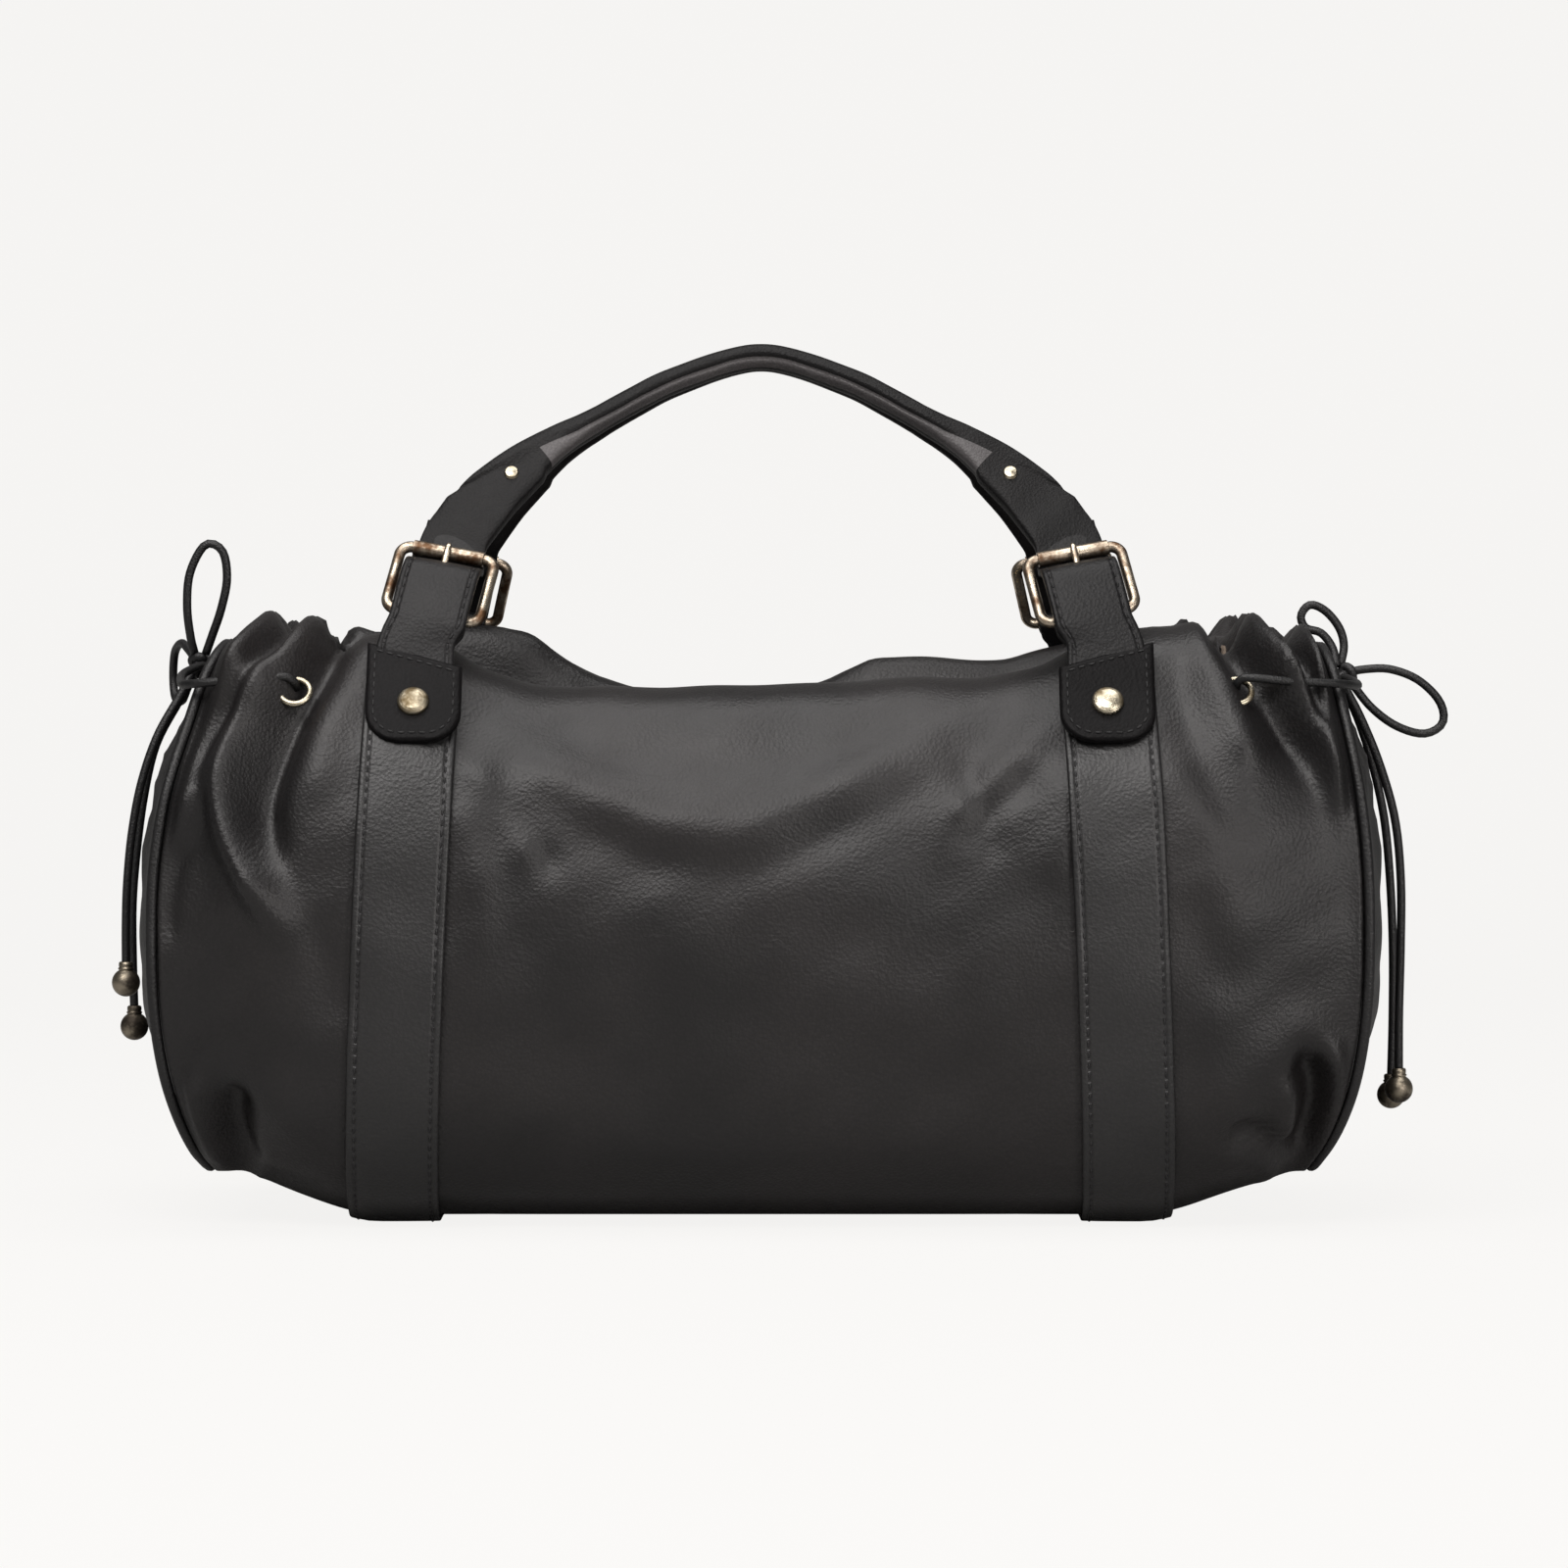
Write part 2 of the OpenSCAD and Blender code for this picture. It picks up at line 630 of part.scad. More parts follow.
// Chape: a strap folded round the heel bar, with a slot for the prong's eye
chape_wall = 1.4;
chape_r = bar_r * 0.8 + running + chape_wall;
chape_w = strap_w - 4;
chape_slot = prong_w + 3;
chape_root_h = 4.6;
chape_start_h = 3;
module chape(x_side, y_side) {
    color("#2a2829")
        hinge_frame(y_side, lean)
            difference() {
                union() {
                    translate([frame_side(x_side, y_side) * (tab_x - buckle_shift), 0, 0]) {
                        rotate([0, quarter_turn, 0])
                            cylinder(r = knuckle_r, h = chape_w, center = true);
                        translate([-chape_w / 2, 0, -knuckle_r])
                            cube([chape_w, chape_root_h, 2 * knuckle_r]);
                    }
                    buckle_frame(frame_side(x_side, y_side)) {
                        translate([-chape_w / 2, chape_start_h, -knuckle_r])
                            cube([chape_w, heel_h - chape_start_h, 2 * knuckle_r]);
                        translate([0, heel_h, 0])
                            rotate([0, quarter_turn, 0])
                                cylinder(r = chape_r, h = chape_w, center = true);
                    }
                }
                buckle_frame(frame_side(x_side, y_side)) {
                    translate([0, heel_h, 0])
                        rotate([0, quarter_turn, 0])
                            cylinder(r = bar_r * 0.8 + running, h = 2 * chape_w, center = true);
                    translate([0, heel_h + 1, 0])
                        cube([chape_slot, 2 * chape_r + 2, 4 * chape_r], center = true);
                }
            }
}

// Strap end: comes down behind the roller, crosses the frame and lies over the heel bar
strap_tip_h = 2.6;
strap_front = chape_r + seat;
strap_back = roller_r + seat;
strap_top_h = top_h + 14;
strap_slot_w = prong_w + 1.4;
module strap_profile() {
    t = strap_t;
    polygon([
        [strap_tip_h, strap_front - seat / 2], [heel_h + 3, strap_front],
        [top_h - 9, strap_front], [top_h - 5, -strap_back - t + 1], [top_h, -strap_back - t],
        [strap_top_h, -strap_back - t], [strap_top_h, -strap_back], [top_h, -strap_back],
        [top_h - 3, -strap_back + 1], [top_h - 7, strap_front + t],
        [heel_h + 4, strap_front + t], [strap_tip_h, strap_front + t - seat / 2]
    ]);
}
module strap(x_side, y_side) {
    slot_start = heel_h + 2.5;
    slot_end = top_h - 2;
    color("#2a2829")
        hinge_frame(y_side, lean)
            buckle_frame(frame_side(x_side, y_side))
                difference() {
                    rotate([quarter_turn, 0, quarter_turn])
                        linear_extrude(strap_w, center = true)
                            strap_profile();
                    translate([0, (slot_start + slot_end) / 2, 0])
                        cube([strap_slot_w, slot_end - slot_start, 6 * strap_t], center = true);
                }
}

// Grip: the strap rolls into a tube, swept along an arch from one strap end to the other.
// Each row holds shares of tab_x and handle_rise, then how flat and how deep it is
grip_rows_shares = [
    [0.79, 0.53, 0.75, 0.1], [0.735, 0.58, 0.62, 0.25], [0.66, 0.64, 0.42, 0.45], [0.583, 0.7, 0.22, 0.65],
    [0.472, 0.781, 0.12, 0.85], [0.376, 0.845, 0.08, 0.95], [0.272, 0.907, 0.05, 1], [0.138, 0.967, 0.02, 1], [0.06, 0.993, 0.01, 1],
    [0, 1, 0, 1]
];
grip_flat_t = 2 * strap_t + seat;
grip_flat_w = strap_w + 1;
// The two rows at the strap's end, as [x, y, flat, deep, direction x, direction y]
function end_row(h) = [tab_x - buckle_shift - h * sin(buckle_lean), h * cos(buckle_lean), 1, 0,
                       -sin(buckle_lean), cos(buckle_lean)];
grip_half = concat([end_row(strap_top_h + seat), end_row(strap_top_h + 4)],
    [for (r = grip_rows_shares) [r[0] * tab_x, r[1] * handle_rise, r[2], r[3], 0, 0]]);
grip_rows = concat(grip_half, [for (i = [len(grip_half) - 2:-1:0])
    let (r = grip_half[i]) [-r[0], r[1], r[2], r[3], r[4], -r[5]]]);
grip_corners = [[-0.5, -0.25], [-0.3, -0.5], [0.3, -0.5], [0.5, -0.25], [0.5, 0.25], [0.3, 0.5], [-0.3, 0.5], [-0.5, 0.25]];
function grip_point(i) = [grip_rows[i][0], grip_rows[i][1]];
function grip_level(row) = -(strap_back + strap_t / 2) * (1 - row[3]);
function grip_ring(i) =
    let (n = len(grip_rows), row = grip_rows[i], p = grip_point(i),
         a = grip_point(max(0, i - 1)), b = grip_point(min(n - 1, i + 1)),
         d = row[4] == 0 && row[5] == 0 ? unit(b - a) : [row[4], row[5]], across = [-d[1], d[0]],
         w = mix(grip_t, grip_flat_w, row[2]), t = mix(grip_flat_t, grip_depth, row[3]))
    [for (c = grip_corners) [p[0] + across[0] * c[0] * w, p[1] + across[1] * c[0] * w,
                             c[1] * t + grip_level(row)]];
module grip(y_side) {
    color("#242223")
        hinge_frame(y_side, lean)
            ring_skin([for (i = [len(grip_rows) - 1:-1:0]) grip_ring(i)]);
}

grip_rivet_r = 2.4;
grip_rivet_h = 1.2;
grip_rivet_row = 3;
module grip_rivets(y_side) {
    row = grip_rows[grip_rivet_row];
    color("#c9b98c")
        hinge_frame(y_side, lean)
            for (x_side = [-1, 1])
                translate([x_side * row[0], row[1], grip_level(row)
                           + mix(grip_flat_t, grip_depth, row[3]) / 2 + seat / 2])
                    rotate_extrude()
                        polygon([[0, 0], [grip_rivet_r, 0], [grip_rivet_r * 0.8, grip_rivet_h * 0.7], [0, grip_rivet_h]]);
}

// Cords: routes are chosen by hand, and each is smoothed and swept as a tube
function catmull(p, i, t) =
    let (n = len(p), a = p[max(0, i - 1)], b = p[i], c = p[min(n - 1, i + 1)], d = p[min(n - 1, i + 2)])
    0.5 * (2 * b + (c - a) * t + (2 * a - 5 * b + 4 * c - d) * t * t + (3 * b - 3 * c + d - a) * t * t * t);
function smooth_route(p, steps) =
    concat([for (i = [0:len(p) - 2]) for (k = [0:steps - 1]) catmull(p, i, k / steps)], [p[len(p) - 1]]);
function carried(v, t) = unit(v - t * (v * t));
function frames(p, i = 0, v = [0.3, 0.9, 0.1], out = []) =
    i >= len(p) ? out :
    let (t = unit(p[min(len(p) - 1, i + 1)] - p[max(0, i - 1)]), u = carried(v, t))
    frames(p, i + 1, u, concat(out, [[u, cross(t, u)]]));
module cord_tube(route, steps = 1) {
    path = smooth_route(route, steps);
    f = frames(path);
    ring_skin([for (i = [len(path) - 1:-1:0]) [for (k = [0:tube_n - 1])
        path[i] + cord_d / 2 * (cos(k * 360 / tube_n) * f[i][0] + sin(k * 360 / tube_n) * f[i][1])]]);
}

left_knot_at = [-183, 0, 178];
right_knot_at = [190.8, 0, 174];
knot_r = 5;
module knot(at) {
    color("#1b1a1a")
        translate(at)
            sphere(r = knot_r);
}

// Tall loop at the left, seen upright beside the body, and the low one behind it
left_tall_route = [
    [-184.8, -1.5, 181.5], [-186, -3, 187], [-187, -4, 197], [-186, -4, 208], [-181, -4, 217],
    [-175.5, -4, 215], [-174, -4, 206], [-176, -3.5, 196], [-179, -2.5, 187.5], [-181.2, -1.5, 181.5]
];
left_low_route = [
    [-185.2, 3, 180], [-188, 9, 183], [-191, 17, 185], [-194, 25, 182], [-195, 29, 174],
    [-194, 26, 167], [-191, 18, 166], [-188, 10, 171], [-184.5, 3.8, 176.5]
];
right_round_route = [
    [189.2, 2, 177.5], [190.5, 3.5, 184], [189, 4, 190], [184.5, 4, 195.5], [179.5, 4, 197.5],
    [176.5, 4, 194], [178, 3.8, 190], [183, 3.2, 188.3], [186.6, 2, 183.5], [187.8, -0.6, 177.4]
];
right_long_route = [
    [191.5, -1, 175.5], [197, -2, 176.5], [205, -3, 176.5], [214, -4, 173], [221, -4, 166],
    [222, -4, 159], [216, -4, 155.5], [207, -3.5, 158], [199, -2, 164], [192.5, 0, 172.2]
];
left_front_route = [
    [-185.5, -2.5, 175.8], [-189, -7, 168], [-196, -11, 155], [-201, -13, 140], [-204, -14, 124],
    [-205.5, -15, 108], [-206, -15, 94], [-206, -15, 79]
];
left_rear_route = [
    [-185, 1.5, 174.7], [-191, 3, 165], [-198, 4, 152], [-202, 5, 136], [-204.5, 5, 118],
    [-206, 5, 100], [-206, 5, 82], [-205.5, 5, 63.5]
];
right_front_route = [
    [190, -3, 171], [195, -6, 161], [201, -8, 146], [206, -9, 128], [208, -9, 108],
    [208, -9, 86], [207.5, -9, 64], [207.5, -9, 44]
];
right_rear_route = [
    [190, 2, 170.8], [195, 5, 161], [200, 6, 146], [204, 6, 128], [206, 6, 108],
    [207, 6, 86], [207, 6, 62], [206.5, 6, 41]
];

module cord(route) {
    color("#1b1a1a")
        cord_tube(route);
}

module balls(routes) {
    color("#a89a78")
        for (r = routes)
            translate(r[len(r) - 1] - [0, 0, ball_r - seat * 2])
                difference() {
                    union() {
                        sphere(r = ball_r);
                        translate([0, 0, ball_r - seat * 3])
                            cylinder(r = cord_d / 2 + 0.6, h = 3);
                    }
                    translate([0, 0, ball_r - seat * 2])
                        cylinder(r = cord_d / 2, h = 4);
                }
}

// The held run of each drawstring, from eyelet to eyelet round the end, under its knot
left_run_half = [
    [-146.2, -65, 170.5], [-147.8, -68, 174], [-153, -69, 174.5], [-162, -68.5, 173.5], [-172.5, -67.5, 172.8],
    [-181.5, -62.5, 172], [-184.5, -48, 172.5], [-186, -28, 175], [-182.5, -10, 177.5]
];
right_run_half = [
    [149.9, -65.3, 170.1], [150.8, -68, 173.8], [156, -69, 174], [166, -68, 173], [177, -66, 172.5],
    [185.5, -61, 172], [190, -48, 171.5], [191, -28, 172.5], [189.8, -10, 173.6]
];
function mirrored_run(r) = concat(r, [for (i = [len(r) - 1:-1:0]) [r[i][0], -r[i][1], r[i][2]]]);
module drawstring(run) {
    color("#1b1a1a")
        cord_tube(mirrored_run(run));
}

shell();
lining();
base_board();
base_panel();
end_panel(true);  // left_end_panel
end_panel(false);  // right_end_panel
piping(true);  // left_piping
piping(false);  // right_piping
band(-1);  // left_band
band(1);  // right_band
zip_facings();
zip_tapes();
zip_teeth();
zip_stops();
zip_slider();
zip_pull();
tab(-1, -1);  // front_left_tab
tab(1, -1);  // front_right_tab
tab(-1, 1);  // rear_left_tab
tab(1, 1);  // rear_right_tab
tab_rivets();
eyelets();
grip(-1);  // front_grip
strap(-1, -1);  // front_left_strap
strap(1, -1);  // front_right_strap
grip_rivets(-1);  // front_grip_rivets
chape(-1, -1);  // front_left_chape
chape(1, -1);  // front_right_chape
frame(-1, -1);  // front_left_frame
frame(1, -1);  // front_right_frame
roller(-1, -1);  // front_left_roller
roller(1, -1);  // front_right_roller
prong(-1, -1);  // front_left_prong
prong(1, -1);  // front_right_prong
grip(1);  // rear_grip
strap(-1, 1);  // rear_left_strap
strap(1, 1);  // rear_right_strap
grip_rivets(1);  // rear_grip_rivets
chape(-1, 1);  // rear_left_chape
chape(1, 1);  // rear_right_chape
frame(-1, 1);  // rear_left_frame
frame(1, 1);  // rear_right_frame
roller(-1, 1);  // rear_left_roller
roller(1, 1);  // rear_right_roller
prong(-1, 1);  // rear_left_prong
prong(1, 1);  // rear_right_prong
knot(left_knot_at);  // left_knot
knot(right_knot_at);  // right_knot
drawstring(left_run_half);  // left_drawstring
drawstring(right_run_half);  // right_drawstring
cord(left_tall_route);  // left_tall_loop
cord(left_low_route);  // left_low_loop
cord(right_round_route);  // right_round_loop
cord(right_long_route);  // right_long_loop
cord(left_front_route);  // left_front_tail
cord(left_rear_route);  // left_rear_tail
cord(right_front_route);  // right_front_tail
cord(right_rear_route);  // right_rear_tail
balls([left_front_route, left_rear_route]);  // left_balls
balls([right_front_route, right_rear_route]);  // right_balls
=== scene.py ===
import bpy
import bmesh
import math
import numpy as np
from mathutils import Matrix, Vector


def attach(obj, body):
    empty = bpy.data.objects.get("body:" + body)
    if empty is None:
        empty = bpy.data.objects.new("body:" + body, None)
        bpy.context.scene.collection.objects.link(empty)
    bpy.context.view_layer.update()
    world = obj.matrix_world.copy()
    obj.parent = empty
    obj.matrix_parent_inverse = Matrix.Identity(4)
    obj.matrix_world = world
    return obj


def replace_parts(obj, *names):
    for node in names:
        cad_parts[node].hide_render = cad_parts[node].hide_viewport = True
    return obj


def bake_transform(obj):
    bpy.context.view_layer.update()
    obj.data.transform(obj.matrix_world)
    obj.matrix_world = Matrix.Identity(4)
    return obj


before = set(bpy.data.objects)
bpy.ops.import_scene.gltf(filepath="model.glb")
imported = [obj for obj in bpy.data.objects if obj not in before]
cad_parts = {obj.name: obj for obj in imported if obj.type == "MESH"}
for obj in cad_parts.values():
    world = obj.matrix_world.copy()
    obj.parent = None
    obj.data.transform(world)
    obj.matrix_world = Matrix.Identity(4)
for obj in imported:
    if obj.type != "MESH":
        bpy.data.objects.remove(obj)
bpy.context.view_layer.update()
MM = 0.001

# ---- camera
cam_data = bpy.data.cameras.new("photo_camera")
camera = bpy.data.objects.new("photo_camera", cam_data)
bpy.context.scene.collection.objects.link(camera)
bpy.context.scene.camera = camera
cam_data.lens = 135
cam_data.sensor_width = 36
LOOK = Vector((0.0074, 0.0, 0.139))
camera.location = (0.0074, -1.92, 0.185)
camera.rotation_euler = (LOOK - Vector(camera.location)).to_track_quat("-Z", "Y").to_euler()


# ---- shader maths
class Val:
    """One socket of a shader tree, with the usual sums written as Python."""

    def __init__(self, mat, socket):
        self.mat, self.socket = mat, socket

    def _math(self, operation, *others):
        out = self.mat.node("ShaderNodeMath", {"operation": operation}, [self, *others])
        return out[0]

    def __add__(self, o): return self._math("ADD", o)
    def __sub__(self, o): return self._math("SUBTRACT", o)
    def __rsub__(self, o): return self.mat.value(o)._math("SUBTRACT", self)
    def __mul__(self, o): return self._math("MULTIPLY", o)
    def __truediv__(self, o): return self._math("DIVIDE", o)
    def __lt__(self, o): return self._math("LESS_THAN", o)
    def frac(self): return self._math("FRACT")
    def abs(self): return self._math("ABSOLUTE")
    def sin(self): return self._math("SINE")
    def least(self, o): return self._math("MINIMUM", o)
    def smooth(self, low, high):
        return self.mat.node("ShaderNodeMapRange", {"interpolation_type": "SMOOTHSTEP"},
                             {"Value": self, "From Min": low, "From Max": high})[0]


class Finish:
    """A material's tree: node() makes any node and returns its outputs."""

    def __init__(self, name, **surface):
        self.mat = bpy.data.materials.new(name)
        self.mat.use_nodes = True
        self.tree = self.mat.node_tree
        self.tree.nodes.clear()
        self.out = self.tree.nodes.new("ShaderNodeOutputMaterial")
        self.bsdf = self.tree.nodes.new("ShaderNodeBsdfPrincipled")
        self.tree.links.new(self.bsdf.outputs[0], self.out.inputs[0])
        self.set(**surface)

    def value(self, v):
        node = self.tree.nodes.new("ShaderNodeValue")
        node.outputs[0].default_value = v
        return Val(self, node.outputs[0])

    def put(self, socket, v):
        if isinstance(v, Val):
            self.tree.links.new(v.socket, socket)
        elif isinstance(v, (tuple, list)) and len(v) == 3 \
                and len(getattr(socket, "default_value", (0,) * 3)) == 4:
            socket.default_value = (*v, 1)
        else:
            socket.default_value = v

    def node(self, kind, settings=None, sockets=None):
        node = self.tree.nodes.new(kind)
        for key, v in (settings or {}).items():
            setattr(node, key, v)
        pairs = sockets.items() if isinstance(sockets, dict) else enumerate(sockets or [])
        for key, v in pairs:
            self.put(node.inputs[key], v)
        return [Val(self, o) for o in node.outputs if o.enabled]

    def set(self, **surface):
        for key, v in surface.items():
            self.put(self.bsdf.inputs[key.replace("_", " ")], v)
        return self

    def place(self, space="Object", scale=(1, 1, 1), turn=(0, 0, 0)):
        coord = self.tree.nodes.new("ShaderNodeTexCoord")
        start = Val(self, coord.outputs[space])
        return self.node("ShaderNodeMapping", {}, {"Vector": start, "Scale": scale, "Rotation": turn})[0]

    def noise(self, at, scale, detail=3, rough=0.55):
        return self.node("ShaderNodeTexNoise", {},
                         {"Vector": at, "Scale": scale, "Detail": detail, "Roughness": rough})[0]

    def cells(self, at, scale, feature="F1"):
        return self.node("ShaderNodeTexVoronoi", {"feature": feature}, {"Vector": at, "Scale": scale})[0]

    def blend(self, share, a, b):
        node = self.tree.nodes.new("ShaderNodeMix")
        node.data_type = "RGBA"
        for socket, v in ((node.inputs[0], share), (node.inputs[6], a), (node.inputs[7], b)):
            self.put(socket, v)
        return Val(self, node.outputs[2])

    def bump(self, height, distance, strength=1.0):
        return self.node("ShaderNodeBump", {}, {"Height": height, "Distance": distance,
            "Strength": strength})[0]


def leather(name, base, pale, grain=1.0, crease=1.0, roughness=(0.4, 0.6), stitched=None, gloss=0.42):
    """Grained leather: pores, creases and a worn sheen, with rows of stitches where asked.
    stitched is (width of the strip in mm, distance of the rows from its edges, thread colour)."""
    f = Finish(name, Specular_IOR_Level=gloss)
    at = f.place()
    broad = f.noise(at, 14, 3, 0.5)
    cloud = f.noise(at, 60, 4, 0.6)
    pores = f.cells(at, 900 / grain)
    fine = f.noise(at, 2600 / grain, 2, 0.6)
    lines = f.cells(f.place(scale=(1, 1, 1.7)), 150, "DISTANCE_TO_EDGE")
    creases = lines.smooth(0.0, 0.09)
    colour = f.blend(broad.smooth(0.36, 0.66), base, pale)
    colour = f.blend(pores.smooth(0.1, 0.75) * 0.35, colour, tuple(c * 0.45 for c in base))
    rough = broad * 0.1 + cloud * 0.14 + (roughness[0] - 0.06)
    height = pores * 0.35 + fine * 0.2 + creases * 0.07 * crease + cloud * 0.22 * crease
    if stitched:
        width, inset, thread = stitched
        uv = f.node("ShaderNodeSeparateXYZ", {}, [f.place("UV")])
        across, along = uv[0] * width, uv[1] * 1000
        edge = across.least(width - across)
        row = ((edge - inset).abs() < 0.42)
        dash = (along / 3.6).frac().smooth(0.04, 0.12) * (1 - (along / 3.6).frac().smooth(0.74, 0.84))
        stitch = row * dash
        groove = 1 - (edge - inset).abs().smooth(0.2, 1.1)
        height = height * (1 - stitch) + stitch * 1.6 - groove * 0.9
        colour = f.blend(stitch * 0.85, colour, thread)
        rim = 1 - edge.smooth(0.0, 0.9)
        height = height - rim * 0.6
    f.set(Base_Color=colour, Roughness=rough, Normal=f.bump(height, 0.0006, 0.55))
    return f.mat


def metal(name, base, dark, roughness, tarnish_and_reflection_share):
    """Cast and polished metal with fine scratches and patches of deep brown, partly real tarnishing and
    partly a painted dark-brown reflection.
    """
    f = Finish(name, Metallic=1.0)
    at = f.place()
    patch = f.noise(at, 120, 4, 0.65)
    scratch = f.noise(f.place(scale=(1, 1, 9), turn=(0.4, 0.2, 0.7)), 700, 3, 0.7)
    spots = f.cells(at, 420)
    # patches of deep brown: partly tarnishing, partly a painted reflection of dim surroundings
    mask = patch.smooth(0.62 - tarnish_and_reflection_share * 0.4, 0.78 - tarnish_and_reflection_share * 0.2)
    f.set(Base_Color=f.blend(mask, base, dark),
          Roughness=mask * 0.22 + scratch * 0.12 + (roughness - 0.06),
          Normal=f.bump(scratch * 0.5 + spots * 0.25 + patch * 0.4, 0.0003, 0.35))
    return f.mat


def cloth(name, base, pale, thread):
    """Plain weave with threads of the given size in mm."""
    f = Finish(name, Roughness=0.85)
    at = f.node("ShaderNodeSeparateXYZ", {}, [f.place()])
    k = math.pi / (thread * MM)
    weave = (at[0] * k).sin().abs() * 0.5 + ((at[1] + at[2]) * k).sin().abs() * 0.5
    shade = f.noise(f.place(), 40, 3, 0.5)
    f.set(Base_Color=f.blend(weave * 0.6 + shade * 0.4, base, pale), Normal=f.bump(weave, 0.0003, 0.6))
    return f.mat


BLACK, SOFT_BLACK = (0.0062, 0.0054, 0.0056), (0.0135, 0.0115, 0.0115)
MATS = {
    "body": leather("charcoal_leather", BLACK, SOFT_BLACK, 1.0, 1.0),
    "end": leather("end_leather", (0.005, 0.0048, 0.005), (0.0105, 0.0098, 0.0102), 1.0, 1.2),
    "piping": leather("piping_leather", (0.0055, 0.0052, 0.0055), (0.012, 0.011, 0.0115), 0.8, 0.6),
    "band": leather("band_leather", (0.0058, 0.0055, 0.0057), (0.012, 0.0112, 0.0114), 1.0, 0.8,
        stitched=(29.0, 2.6, (0.012, 0.011, 0.012)), gloss=0.55),
    "strap": leather("strap_leather", (0.006, 0.0057, 0.006), (0.0125, 0.0118, 0.0122), 0.9, 0.7,
        stitched=(26.0, 2.3, (0.012, 0.011, 0.012)), gloss=0.24),
    "tab": leather("tab_leather", (0.0042, 0.0038, 0.004), (0.0085, 0.0078, 0.0082), 0.9, 0.8, gloss=0.08),
    "grip": leather("grip_leather", (0.0045, 0.0042, 0.0044), (0.0095, 0.009, 0.0092), 0.7, 0.9,
        gloss=0.16),
    "cord": leather("cord_leather", (0.0045, 0.0045, 0.0048), (0.0105, 0.01, 0.0104), 0.5, 0.3,
        (0.36, 0.5)),
    # painted light: a much paler copy of the grip leather, standing in for the pale floor's light bouncing
    # up onto the grip's lower faces
    "under": leather("grip_underside_painted_bounce_light", (0.05, 0.046, 0.047), (0.085, 0.078, 0.079), 0.7, 0.7),
    "lining": cloth("lining_cloth", (0.10, 0.075, 0.055), (0.16, 0.12, 0.09), 0.7),
    "tape": cloth("zip_tape_cloth", (0.008, 0.008, 0.009), (0.022, 0.021, 0.022), 0.5),
    "buckle": metal("pale_gold", (0.60, 0.52, 0.41), (0.10, 0.055, 0.03), 0.24, 0.6),
    "rivet": metal("antique_brass", (0.46, 0.41, 0.31), (0.12, 0.09, 0.05), 0.26, 0.45),
    "zip": metal("zip_brass", (0.55, 0.42, 0.22), (0.13, 0.09, 0.04), 0.3, 0.4),
    "ball": metal("dark_brass", (0.30, 0.26, 0.20), (0.06, 0.05, 0.04), 0.34, 0.5),
    "thread": leather("waxed_thread", (0.006, 0.0058, 0.006), (0.016, 0.0152, 0.016), 0.3, 0.2, (0.5, 0.6)),
    "board": cloth("pressed_board", (0.09, 0.065, 0.05), (0.13, 0.10, 0.075), 0.4),
}


# ---- mesh helpers
def piece(name, bm, finish, body):
    """Makes an object of a bmesh, paints it and puts it on its body."""
    mesh = bpy.data.meshes.new(name)
    bmesh.ops.recalc_face_normals(bm, faces=bm.faces)
    bm.to_mesh(mesh)
    bm.free()
    obj = bpy.data.objects.new(name, mesh)
    bpy.context.scene.collection.objects.link(obj)
    mesh.polygons.foreach_set("use_smooth", [True] * len(mesh.polygons))
    mesh.materials.append(MATS[finish])
    if body:
        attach(obj, body)
    return obj


def thicken(obj, thickness):
    """Gives a sheet its thickness, inwards."""
    m = obj.modifiers.new("solidify", "SOLIDIFY")
    m.thickness, m.offset, m.use_rim = thickness * MM, -1, True


def skin(points, uv=None):
    """Lays a grid over an array of points [u][v][xyz], in mm, and joins its seams."""
    u_n, v_n = len(points), len(points[0])
    bm = bmesh.new()
    bmesh.ops.create_grid(bm, x_segments=u_n - 1, y_segments=v_n - 1, size=1.0)
    layer = bm.loops.layers.uv.new("UVMap") if uv is not None else None
    index = {}
    for v in bm.verts:
        i = int(round((v.co.x + 1) / 2 * (u_n - 1)))
        j = int(round((v.co.y + 1) / 2 * (v_n - 1)))
        index[v] = (i, j)
    if layer:
        for face in bm.faces:
            for loop in face.loops:
                i, j = index[loop.vert]
                loop[layer].uv = uv[i][j]
    for v, (i, j) in index.items():
        v.co = Vector(points[i][j]) * MM
    bmesh.ops.remove_doubles(bm, verts=bm.verts, dist=1e-6)
    return bm


def smoothstep(a, b, v):
    t = np.clip((np.asarray(v, float) - a) / (b - a), 0, 1)
    return t * t * (3 - 2 * t)


def run_along(points):
    """How far along a line each of its points lies."""
    return np.concatenate([[0], np.cumsum(np.linalg.norm(np.diff(points, axis=0), axis=1))])


def spline(keys, n):
    """A smooth line through the keys, cut into n points of even length."""
    keys = np.array(keys, float)
    p = np.vstack([2 * keys[0] - keys[1], keys, 2 * keys[-1] - keys[-2]])
    fine = []
    for i in range(1, len(p) - 2):
        for t in np.linspace(0, 1, 12, endpoint=False):
            a, b, c, d = p[i - 1], p[i], p[i + 1], p[i + 2]
            fine.append(0.5 * (2 * b + (c - a) * t + (2 * a - 5 * b + 4 * c - d) * t * t
                               + (3 * b - 3 * c + d - a) * t ** 3))
    fine.append(keys[-1])
    fine = np.array(fine)
    arc = run_along(fine)
    at = np.linspace(0, arc[-1], n)
    return np.stack([np.interp(at, arc, fine[:, k]) for k in range(fine.shape[1])], 1)


TUBE_SIDES = 12


def close_ends(bm):
    bmesh.ops.holes_fill(bm, edges=[e for e in bm.edges if e.is_boundary])


